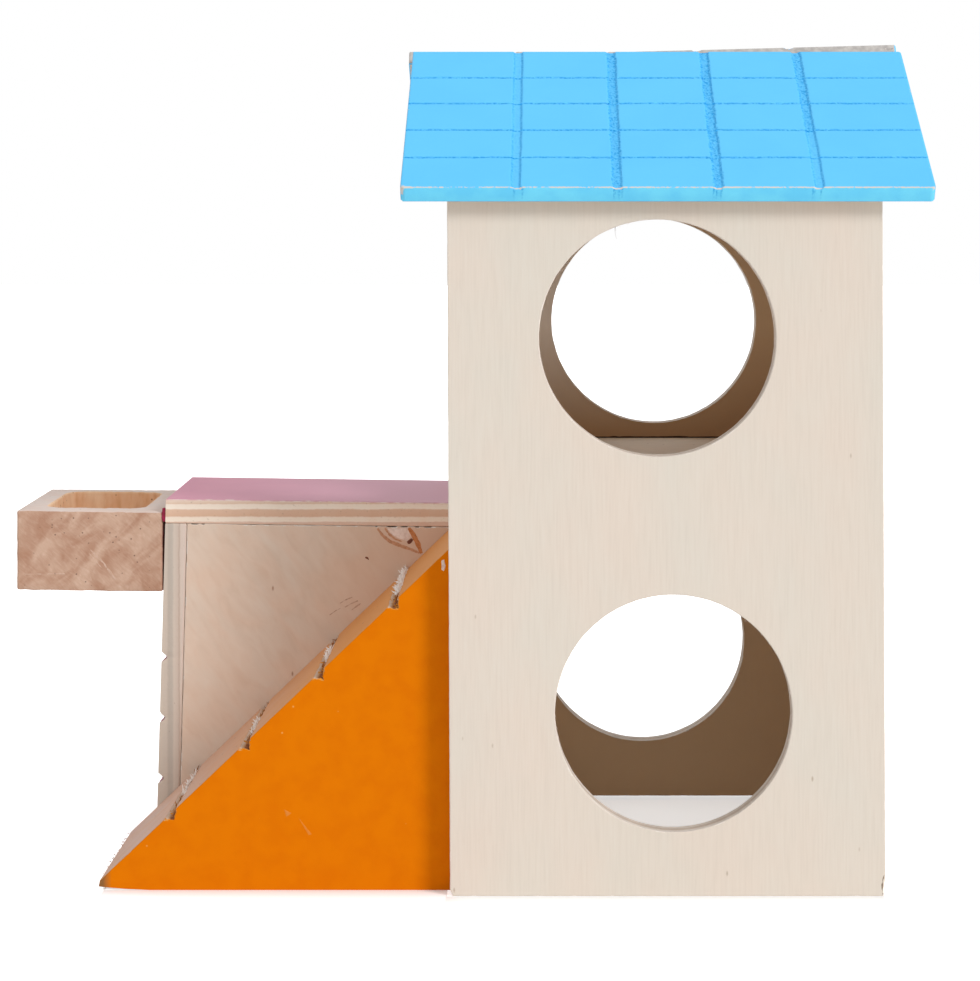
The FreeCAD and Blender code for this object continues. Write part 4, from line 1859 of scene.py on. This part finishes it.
@dataclass
class Roof:
    """Two blue boards scored into tiles; the back one's top edge is cut askew."""

    width: float = 112.0
    side_shift: float = 0.4
    slope_length: float = 58.5
    thickness: float = 3.6
    ridge_lap: float = 2.3
    # The back board: how far it sticks out to the left, and where its edge starts to rise
    back_left_shift: float = -0.65
    back_width: float = 111.6
    back_rise_start: float = 50.0
    back_drop: float = 1.85
    first_column: float = 24.2
    column_pitch: float = 21.2
    first_row: float = 12.15
    row_pitch: float = 11.4
    # How torn each groove is, from the left, and how far down it stays so
    tears: tuple[Flat, ...] = ((0.35, 60.0), (1.5, 60.0), (1.7, 60.0), (1.4, 34.0))
    worn_rim: float = 0.35
    # How near its ends a board's side faces count as sawn
    sawn_rim: float = 0.7
    back_groove_shift: float = -1.2

    def sunk(self, u: float) -> float:
        """Gives how far the back board's top edge, cut askew, lies low at a place along it."""
        rise = self.back_width - self.back_rise_start
        return self.back_drop * min(1.0, (self.back_width - u) / rise)

    def ragged(self, u: float, v: float) -> float:
        """Gives how torn the cuts are at a place on the board.

        Args:
            u: the place along the board.
            v: the place down it.
        Returns:
            The share of the full tearing.
        """
        number = min(max(round((u - self.first_column) / self.column_pitch), 0), 3)
        away = abs(u - self.first_column - number * self.column_pitch)
        strength, end = self.tears[number]
        fade = 1.0 if v < end else max(0.35, 1 - (v - end) / 6.0)
        return strength * fade if away < 3.0 else 0.9

    def worn(self, u: float, v: float) -> float:
        """Gives how worn the paint is: most along the eave, in places, less elsewhere.

        Args:
            u: the place along the board.
            v: the place down it.
        Returns:
            The wear, which bares the wood from about 0.5 up.
        """
        low = self.slope_length - v
        side = min(u, self.width - u)
        worn = 0.0
        if 0.04 < low < self.worn_rim:
            worn = 0.52 + 0.12 * u / self.width + wobble((u, 0.0, 7.0), 6.0, 0.24)
        elif side < self.worn_rim:
            worn = 0.24 + wobble((v, 3.0, 7.0), 4.0, 0.3)
        elif v < self.worn_rim:
            worn = 0.22 + wobble((u, 9.0, 7.0), 5.0, 0.3)
        if u < 2.2 and 0.04 < low < 1.2:
            worn += 0.4
        return worn

    def board(self, name: str, front: bool) -> ScoredBoard:
        """Lays out one roof board.

        Args:
            name: the board's node.
            front: whether it is the front board.
        Returns:
            The board, ready to build.
        """
        pitch = math.radians(ROOF_PITCH)
        cos, sin = math.cos(pitch), math.sin(pitch)
        middle = TOWER_DEPTH / 2
        apex = WALL_HEIGHT + middle * math.tan(pitch)
        left = TOWER_WIDTH / 2 + self.side_shift - self.width / 2
        side = -1.0 if front else 1.0
        start = self.ridge_lap * math.cos(2 * pitch) if front else -self.ridge_lap
        shift = 0.0 if front else self.back_left_shift
        tiles = Scoring(
            first_column=self.first_column + (0.0 if front else self.back_groove_shift - shift),
            column_pitch=self.column_pitch,
            columns=4,
            groove_width=2.3,
            groove_depth=0.36,
            groove_slope=0.45,
            first_row=self.first_row,
            row_pitch=self.row_pitch,
            rows=4,
            score_width=0.72,
            score_depth=0.46,
            score_slope=0.85,
            tear=0.75,
            grain=0.6,
            seed=3.0 + side,
        )
        return ScoredBoard(
            name,
            (left + shift, middle + side * cos * start, apex - sin * start),
            (1.0, 0.0, 0.0),
            (0.0, side * cos, -sin),
            (0.0, side * sin, cos),
            self.width if front else self.back_width,
            self.slope_length,
            self.thickness,
            tiles,
            corners=(0.3, 0.8, 1.1, 1.0),
            taper=(0.4, 0.3) if front else (0.0, 0.0),
            sunk=nowhere if front else self.sunk,
            sink=(0.0, sin, -cos),
            worn=self.worn,
            ragged=self.ragged,
            coarse=(0.6, 0.34),
        )

    def finishes(self, board: ScoredBoard) -> list[tuple[Finish, FaceTest]]:
        """Gives the finishes of a board's edges and underside.

        Args:
            board: the board.
        Returns:
            Each finish with the test of its faces.
        """
        down, up = Vector(board.down), Vector(board.up)
        left = board.corner[0] + self.sawn_rim
        right = board.corner[0] + board.length - self.sawn_rim
        return [
            (ROOF_EDGE, lambda c, n: n.dot(down) < -0.9),
            (ROOF_EDGE, lambda c, n: abs(n.x) > 0.9 and not left < c.x < right),
            (ROOF_UNDERSIDE, lambda c, n: n.dot(up) < -0.9),
            (EAVE_PAINT_LIT, lambda c, n: n.dot(down) > 0.8),
        ]

    def build(self, scoring: ScoringTree, fibres: FibreTree) -> None:
        """Builds both boards and the splinter at the back board's right end.

        Args:
            scoring: the tree that scores the boards.
            fibres: the tree that raises torn fibres.
        """
        for name, front in (("roof_front_board", True), ("roof_back_board", False)):
            board = self.board(name, front)
            piece = board.build(scoring, BLUE_PAINT)
            dress(piece, BLUE_PAINT, self.finishes(board))
            hand_over(piece, "blue_painted_board", name)
        end = board.corner[0] + board.length
        y, z = board.corner[1] + 1.2, board.corner[2] + self.thickness - 1.6
        Fibres(
            "ridge_splinters",
            path=[(end - 2.5, y, z), (end - 0.6, y, z)],
            way=(0.3, -0.2, 0.4),
            count=3,
            length=1.0,
            thickness=0.3,
            finish=PALE_FIBRE,
            slot="blue_painted_board",
            spread=0.5,
            jitter=0.1,
            seed=4.0,
        ).build(fibres)


@dataclass
class Knot:
    """The knot in the front panel: a ring of bark and a heart round a filled eye."""

    bark: Strip = Strip(
        (
            (-17.6, 71.5),
            (-16.4, 69.9),
            (-14.7, 68.5),
            (-12.2, 67.5),
            (-9.9, 66.7),
            (-8.0, 65.9),
        ),
        0.78,
        KNOT_BARK,
    )
    inner_bark: Strip = Strip(
        ((-15.9, 71.6), (-15.0, 70.3), (-13.6, 69.1), (-12.0, 68.5)), 0.4, KNOT_BARK
    )
    heart: Strip = Strip(
        ((-10.4, 71.6), (-9.3, 70.0), (-8.3, 68.0), (-7.5, 65.8)), 1.15, KNOT_HEART, proud=0.06
    )
    pit: Strip = Strip(((-10.7, 68.2), (-10.1, 68.5), (-9.6, 69.1)), 0.9, KNOT_PIT, proud=0.09)
    filler: Patch = Patch(
        ((-15.3, 71.5), (-10.7, 71.6), (-9.8, 69.8), (-10.7, 68.6), (-12.7, 69.2), (-14.5, 70.3)),
        KNOT_FILLER,
    )

    def build(self) -> None:
        """Builds the knot's parts."""
        for part in ("bark", "inner_bark", "heart", "pit", "filler"):
            getattr(self, part).build(f"panel_knot_{part}", "panel_plywood")


@dataclass
class Annex:
    """The low room: its planked outer wall, two panels and the terrace board."""

    plank_pitch: float = 13.9
    planks: int = 3
    doorway: float = 44.0
    doorway_height: float = 39.0
    # Gap between the outer wall and the panels, and open spots under the terrace board
    glue_gap: float = 0.06
    slits: tuple[Flat, ...] = (
        (-61.2, -59.4),
        (-58.8, -57.8),
        (-18.7, -17.9),
        (-15.9, -13.4),
        (-12.8, -10.9),
        (-9.6, -8.2),
        (-7.4, -5.4),
    )
    slit_depth: float = 0.2
    # Crimson paint in the gap between the terrace board and the bowl
    smudge: Strip = Strip(((-66.78, 76.1), (-66.76, 73.1)), 0.86, CRIMSON_SMUDGE, sunk=1.5)
    # Faint dark scratches on the front panel, next to the ramp
    scratches: tuple[Strip, ...] = (
        Strip(((-26.2, 54.3), (-24.9, 55.1), (-23.4, 55.7)), 0.26, DARK_SCRATCH, proud=0.02),
        Strip(((-25.1, 53.4), (-23.7, 54.2), (-22.1, 54.9)), 0.24, DARK_SCRATCH, proud=0.02),
        Strip(((-23.5, 52.8), (-22.4, 53.6), (-21.4, 54.3)), 0.22, DARK_SCRATCH, proud=0.02),
        Strip(((-28.6, 51.6), (-27.2, 52.6), (-26.0, 53.2)), 0.22, DARK_SCRATCH, proud=0.02),
        Strip(((-20.4, 64.9), (-19.9, 64.7), (-19.6, 64.3)), 0.5, KNOT_PIT, proud=0.03),
    )

    def panel(self, name: str, start: float, doorways: list[Doorway], outer: float) -> None:
        """Builds the front or back panel between the outer wall and the tower.

        Args:
            name: the panel's node.
            start: where its front face lies.
            doorways: its doorways.
            outer: which of its faces looks outwards, -1 or 1.
        """
        left = PLY - ANNEX_LENGTH + self.glue_gap
        top = [(0.0, ANNEX_HEIGHT)]
        for first, last in reversed(self.slits):
            low = ANNEX_HEIGHT - self.slit_depth
            top += [(last, ANNEX_HEIGHT), (last - 0.4, low), (first + 0.4, low)]
            top += [(first, ANNEX_HEIGHT)]
        outline = [(left, 0), (0.0, 0), *top, (left, ANNEX_HEIGHT)]
        board = PlyBoard(
            name, Axis.Y, start, outline, doorways, ease=0.25, torn=0.12, settle=annex_settle
        )
        piece = board.build()
        edge = PlyEdge(f"ply_edge_{name}", Axis.Y, start)
        dress(
            piece, edge, [(PANEL_VENEER, board.facing(outer)), (SHADED_INNER_VENEER, board.facing(-outer))]
        )
        hand_over(piece, "panel_plywood", name)

    def worn(self, u: float, v: float) -> float:
        """Gives how worn the outer wall's paint is, most along its rims."""
        rim = min(u, ANNEX_DEPTH - u, v, ANNEX_HEIGHT - v)
        return 0.45 + wobble((u, v, 1.0), 5.0, 0.35) if rim < 0.5 else 0.0

    def outer_wall(self, tree: ScoringTree) -> None:
        """Builds the crimson wall with its level plank grooves.

        Args:
            tree: the tree that cuts the grooves.
        """
        planks = Scoring(
            first_row=ANNEX_HEIGHT - self.planks * self.plank_pitch,
            row_pitch=self.plank_pitch,
            rows=self.planks,
            score_width=2.5,
            score_depth=1.3,
            score_slope=0.9,
            tear=0.9,
            grain=0.8,
            seed=11.0,
        )
        board = ScoredBoard(
            "annex_left_wall",
            (PLY - ANNEX_LENGTH, ANNEX_FRONT, ANNEX_HEIGHT),
            (0.0, 1.0, 0.0),
            (0.0, 0.0, -1.0),
            (-1.0, 0.0, 0.0),
            ANNEX_DEPTH,
            ANNEX_HEIGHT,
            PLY,
            planks,
            worn=self.worn,
            settle=annex_settle,
        )
        piece = board.build(tree, CRIMSON_PAINT)
        rear, top = TOWER_DEPTH - 0.3, ANNEX_HEIGHT - 0.3
        rear, top = TOWER_DEPTH - 0.3, ANNEX_HEIGHT - 0.3
        dress(
            piece,
            OUTER_WALL_EDGE,
            [
                (SHADED_INNER_VENEER, lambda c, n: n.x > 0.9),
                (
                    CRIMSON_PAINT,
                    lambda c, n: n.x < -0.3 and ANNEX_FRONT + 0.3 < c.y < rear and c.z < top,
                ),
            ],
        )
        hand_over(piece, "crimson_painted_plywood", "annex_left_wall")

    def terrace_board(self) -> None:
        """Builds the lid of the room, rose on top, with its five edge layers."""
        board = PlyBoard(
            "terrace_board",
            Axis.Z,
            ANNEX_HEIGHT,
            rectangle(-ANNEX_LENGTH, ANNEX_FRONT, 0.0, TOWER_DEPTH),
            thickness=TERRACE_THICKNESS,
            ease=0.3,
            torn=0.12,
            settle=annex_settle,
        )
        piece = board.build()
        dress(
            piece,
            TERRACE_EDGE,
            [
                (ROSE_PAINT, board.facing(1)),
                (PANEL_VENEER, board.facing(-1)),
                (ROSE_RIM_HIGHLIGHT, lambda c, n: n.z > 0.25),
            ],
        )
        hand_over(piece, "rose_painted_plywood", "terrace_board")

    def build(self, scoring: ScoringTree) -> None:
        """Builds the low room.

        Args:
            scoring: the tree that cuts the outer wall's grooves.
        """
        self.outer_wall(scoring)
        self.panel("annex_front_panel", ANNEX_FRONT, [], -1.0)
        middle = (PLY - ANNEX_LENGTH) / 2
        door = Doorway(middle, self.doorway_height, self.doorway)
        self.panel("annex_back_panel", TOWER_DEPTH - PLY, [door], 1.0)
        self.terrace_board()
        self.smudge.build("terrace_crimson_smudge", "crimson_painted_plywood")
        for number, scratch in enumerate(self.scratches):
            scratch.build(f"panel_scratch_{number}", "panel_plywood")
        Knot().build()


@dataclass
class Ramp:
    """The solid ramp: orange side, bare slope, four sawn grip grooves with torn lips."""

    run: float = 76.2
    rise: float = 72.7
    # The toe's blunt tip, and how its underside curves up to it
    tip_height: float = 1.9
    tip_inset: float = 1.75
    underside: tuple[Flat, ...] = ((0.0, 0.75), (2.5, 0.5), (6.0, 0.22), (11.0, 0.0))
    groove_start: float = 23.4
    groove_pitch: float = 21.7
    grooves: int = 4
    groove_width: float = 3.2
    groove_depth: float = 1.7
    ease: float = 0.25
    crisp_angle: float = 34.0
    # For each groove: where its pale tuft starts and ends, and how many fibres it has
    pale_tufts: tuple[tuple[float, float, int], ...] = (
        (15.0, 34.0, 64),
        (9.0, 20.0, 60),
        (12.0, 26.0, 60),
        (9.0, 42.0, 420),
    )
    glue: Patch = Patch(
        ((-1.3, 70.2), (-0.7, 70.4), (-0.45, 69.0), (-0.8, 67.9), (-1.3, 68.3)), GLUE, PLY
    )
    scuffs: tuple[Patch, ...] = (
        Patch(((-34.9, 17.2), (-33.3, 16.4), (-34.3, 15.6)), SCUFF, PLY, 0.03),
        Patch(((-31.9, 15.6), (-29.0, 11.9), (-29.6, 11.7)), SCUFF, PLY, 0.02),
    )

    def steepness(self) -> Flat:
        """Gives the cosine and the sine of the slope's angle."""
        angle = math.atan2(self.rise, self.run)
        return math.cos(angle), math.sin(angle)

    def settle(self, place: Sequence[float]) -> Point:
        """Moves a place with the tower that the ramp's high end is glued to."""
        x, y, z = place
        return (x + TOWER_FOOT_OFF * (1 - z / WALL_HEIGHT) * (1 + x / self.run), y, z)

    def section(self, deep: float) -> list[tuple[float, float, float]]:
        """Gives the wedge's outline as places along and up, each with its place on the slope.

        Args:
            deep: how far the slope lies below its own line.
        Returns:
            X, Z and the distance up the slope, which is -1 off the slope.
        """
        cos, sin = self.steepness()
        slope = math.hypot(self.run, self.rise)
        start = self.tip_height / sin
        reach = self.groove_width / 2 + 0.6
        lines = [self.groove_start + n * self.groove_pitch for n in range(self.grooves)]
        ups = [s for s in stations(slope, 1.0, 0.0, lines, reach, 0.2) if start < s < slope]
        outline = [(0.0, 0.0, -1.0)]
        tip = self.tip_inset - self.run
        outline += [(tip + along, up, -1.0) for along, up in reversed(self.underside)]
        outline.append((start * cos - self.run - 0.05, self.tip_height - 0.35, -1.0))
        for s in [start, *ups, slope]:
            outline.append((s * cos - self.run + deep * sin, s * sin - deep * cos, s))
        return outline

    def build(self, scoring: ScoringTree, fibres: FibreTree) -> None:
        """Builds the ramp as one closed mesh and cuts its grooves.

        Args:
            scoring: the tree that cuts the grooves.
            fibres: the tree that raises torn fibres.
        """
        deep = ANNEX_FRONT - PLY
        ys = stations(deep, 0.5, self.ease, [], 0.0, 1.0)
        places: list[Point] = []
        rows = []
        for y in ys:
            row = []
            for x, z, s in self.section(eased(min(y, deep - y), self.ease)):
                ragged = wobble((x, y, z), 1.2, 0.05) if s > 0 else 0.0
                if s < 0 and x < 12 - self.run:
                    x += abs(wobble((y, x, 2.0), 0.9, 0.4))
                spot = (x, PLY + y, max(z + ragged, 0.0))
                row.append(self.settle(spot))
                places.append((y, s, 1.0 if s > 0 else 0.0))
            rows.append(row)
        plain = bpy.data.meshes.new("ramp_wedge")
        write_closed(lofted(rows), plain)
        store(plain, PLACE, np.array(places, dtype=np.float32) * MM)
        store(plain, RAGGED, [1.3] * len(places))
        piece = new_piece("ramp_wedge", plain)
        cos, sin = self.steepness()
        grips = Scoring(
            first_row=self.groove_start,
            row_pitch=self.groove_pitch,
            rows=self.grooves,
            score_width=self.groove_width,
            score_depth=self.groove_depth,
            score_slope=1.0,
            tear=1.3,
            grain=0.9,
            seed=21.0,
        )
        grips.cut(scoring, piece, (-sin, 0.0, cos), 0.5, BARE_SLOPE)
        self.close_ends(piece)
        smooth_mesh(piece.data, self.crisp_angle)
        dress(
            piece,
            BARE_SLOPE,
            [(ORANGE_PAINT, lambda c, n: n.y < -0.9), (ORANGE_RIM, lambda c, n: n.y < -0.35)],
        )
        hand_over(piece, "orange_painted_softwood", "ramp_wedge")
        self.tufts(fibres)

    def close_ends(self, piece: Piece) -> None:
        """Fills the front and back sides anew, so that they follow the cut grooves.

        Args:
            piece: the cut ramp.
        """
        mesh = bmesh.new()
        mesh.from_mesh(piece.data)
        for side in [face for face in mesh.faces if len(face.verts) > 4]:
            edges = list(side.edges)
            bmesh.ops.delete(mesh, geom=[side], context="FACES_ONLY")
            bmesh.ops.triangle_fill(mesh, use_beauty=True, use_dissolve=False, edges=edges)
        write_closed(mesh, piece.data)

    def tufts(self, tree: FibreTree) -> None:
        """Raises torn fibres in the grooves and at the toe's rear edge.

        Args:
            tree: the tree that raises them.
        """
        cos, sin = self.steepness()
        deep = ANNEX_FRONT - PLY
        for number, (start, end, count) in enumerate(self.pale_tufts):
            line = self.groove_start + number * self.groove_pitch
            for kind, first, last, fibres, size, finish in (
                ("pale", start, end, count, 1.0, PALE_FIBRE),
                ("brown_near", 0.2, start, 26, 0.55, BROWN_FIBRE),
                ("brown_far", end, deep - 0.5, 30, 0.6, BROWN_FIBRE),
            ):
                s = line + 0.25 * self.groove_width
                x, z = s * cos - self.run + 0.35 * sin, s * sin - 0.35 * cos
                spots = [(x, PLY + y, z) for y in spaced(first, last, 2.0)]
                Fibres(
                    f"groove_{number}_fibres_{kind}",
                    path=[self.settle(spot) for spot in spots],
                    way=(-0.1, 0.85, 0.2),
                    count=fibres,
                    length=2.6 * size,
                    thickness=0.6 * size,
                    finish=finish,
                    slot="orange_painted_softwood",
                    spread=0.14,
                    jitter=0.5,
                    seed=30.0 + number,
                ).build(tree)
        start = self.tip_height / sin
        toe = [(start * cos - self.run, PLY + y, self.tip_height) for y in spaced(6.0, deep, 2.0)]
        Fibres(
            "toe_splinters",
            path=[self.settle(spot) for spot in toe],
            way=(-0.6, 0.0, 0.2),
            count=40,
            length=0.9,
            thickness=0.2,
            finish=BROWN_FIBRE,
            slot="orange_painted_softwood",
            spread=0.5,
            jitter=0.3,
            seed=40.0,
        ).build(tree)
        self.glue.build("ramp_glue_drop", "orange_painted_softwood")
        for number, scuff in enumerate(self.scuffs):
            scuff.build(f"ramp_scuff_{number}", "orange_painted_softwood")


@dataclass
class Bowl:
    """The feed bowl: a softwood block with a routed pocket and softened edges."""

    left: float = -101.0
    right: float = -ANNEX_LENGTH
    base: float = 56.95
    height: float = 18.25
    left_rise: float = 0.45
    rear_right_rise: float = 0.2
    front_narrow: float = 0.45
    side_wall: float = 5.5
    front_wall: float = 6.9
    rear_wall: float = 5.1
    pocket: float = 12.0
    corner: float = 4.0
    outer_corner: float = 0.6
    floor_radius: float = 1.5
    edge: float = 0.35
    # Light scratches on the front face
    scratches: tuple[Strip, ...] = (
        Strip(((-83.6, 66.6), (-80.4, 63.4), (-76.6, 57.9)), 0.55, SCRATCH, proud=0.02),
        Strip(((-83.9, 65.8), (-80.8, 62.2)), 0.25, SCRATCH, proud=0.02),
        Strip(((-98.6, 61.0), (-88.6, 61.1)), 0.22, SCRATCH, proud=0.02),
    )
    arc_points: int = 8
    side_points: int = 34

    def settle(self, place: Sequence[float]) -> Point:
        """Tilts a place as the bowl was glued on: high at its left and at its rear.

        Args:
            place: the place on the true block.
        Returns:
            The place on the glued one, with a trace of unevenness.
        """
        x, y, z = place
        left = (self.right - x) / (self.right - self.left)
        back = (y - ANNEX_FRONT) / ANNEX_DEPTH
        up = (z - self.base) / self.height
        rough = wobble((x, y, z), 1.4, 0.1) + wobble((x, y, z), 0.5, 0.05)
        rise = self.left_rise * left + self.rear_right_rise * back * up * (1 - left)
        return (x + self.front_narrow * left * (1 - back) + rough, y + rough, z + rise + rough)

    def ring(
        self, inset_x: float, front: float, rear: float, radius: float, z: float
    ) -> list[Point]:
        """Gives a rounded rectangle's points at a height.

        Args:
            inset_x: how far it lies inside the block's left and right faces.
            front: how far it lies inside the front face.
            rear: how far it lies inside the rear face.
            radius: its corners' radius.
            z: its height.
        Returns:
            The points, as many for every ring.
        """
        x0, x1 = self.left + inset_x, self.right - inset_x
        y0, y1 = ANNEX_FRONT + front, TOWER_DEPTH - rear
        centres = [
            (x1 - radius, y0 + radius, -90),
            (x1 - radius, y1 - radius, 0),
            (x0 + radius, y1 - radius, 90),
            (x0 + radius, y0 + radius, 180),
        ]
        arcs = []
        for cx, cy, start in centres:
            steps = range(self.arc_points + 1)
            turns = [math.radians(start + 90 * n / self.arc_points) for n in steps]
            arcs.append([(cx + radius * math.cos(t), cy + radius * math.sin(t)) for t in turns])
        points: list[Point] = []
        for n, arc in enumerate(arcs):
            points += [(x, y, z) for x, y in arc]
            sides = divided(arc[-1], arcs[(n + 1) % 4][0], self.side_points)
            points += [(x, y, z) for x, y in sides[1:]]
        return points

    def rings(self) -> list[list[Point]]:
        """Gives the block's rings, from its underside over the rim to the pocket's floor.

        Returns:
            The rings.
        """
        top = self.base + self.height
        floor = top - self.pocket
        e = self.edge
        outer = [(e, self.base), (0.3 * e, self.base + 0.3 * e)]
        outer += [(0.0, z) for z in spaced(self.base + e, top - e, 1.2)]
        outer += [(0.3 * e, top - 0.3 * e), (e, top)]
        made = [self.ring(inset, inset, inset, self.outer_corner, z) for inset, z in outer]
        inner = [(-0.5, top), (-e, top), (-0.3 * e, top - 0.3 * e), (0.0, top - e)]
        inner += [(0.0, z) for z in spaced(floor + self.floor_radius, top - 1.5 * e, 1.4)[::-1]]
        for turn in (22.5, 45.0, 67.5, 90.0):
            across = self.floor_radius * (1 - math.cos(math.radians(turn)))
            drop = self.floor_radius * math.sin(math.radians(turn))
            inner.append((across, floor + self.floor_radius - drop))
        for inset, z in inner:
            walls = (self.side_wall, self.front_wall, self.rear_wall)
            sides = [wall + inset for wall in walls]
            made.append(self.ring(*sides, self.corner - inset, z))
        return made

    def build(self) -> None:
        """Lofts the block and its pocket as one closed mesh."""
        rings = [[self.settle(spot) for spot in ring] for ring in self.rings()]
        piece = new_piece("feed_bowl", finished_mesh("feed_bowl", lofted(rings), 40.0))
        top = self.base + self.height
        inside = (self.left + self.side_wall - 0.6, self.right - self.side_wall + 0.6)
        deep = (ANNEX_FRONT + self.front_wall - 0.6, TOWER_DEPTH - self.rear_wall + 0.6)

        def in_pocket(centre: Vector, normal: Vector) -> bool:
            """Tells whether a face lies in the pocket, its rim left out.

            Args:
                centre: the face's centre.
                normal: its normal.
            Returns:
                Whether it does.
            """
            return (
                inside[0] < centre.x < inside[1]
                and deep[0] < centre.y < deep[1]
                and centre.z > top - self.pocket - 1.0
                and normal.z < 0.995
                or centre.z < top - 1.5
                and normal.z > 0.5
            )

        dress(
            piece,
            BOWL_WOOD,
            [(BOWL_POCKET_WOOD, in_pocket), (BOWL_TOP_WOOD, lambda c, n: n.z > 0.5)],
        )
        hand_over(piece, "bare_softwood", "feed_bowl")
        for number, scratch in enumerate(self.scratches):
            scratch.build(f"bowl_scratch_{number}", "bare_softwood")


def main() -> None:
    """Builds the studio and then every sub-assembly of the house."""
    logging.basicConfig(level=logging.INFO, format="%(name)s %(message)s")
    Studio().build()
    scoring, fibres = ScoringTree(), FibreTree()
    Tower().build(fibres)
    Roof().build(scoring, fibres)
    Annex().build(scoring)
    Ramp().build(scoring, fibres)
    Bowl().build()
    bpy.context.view_layer.update()


if __name__ == "__main__":
    main()
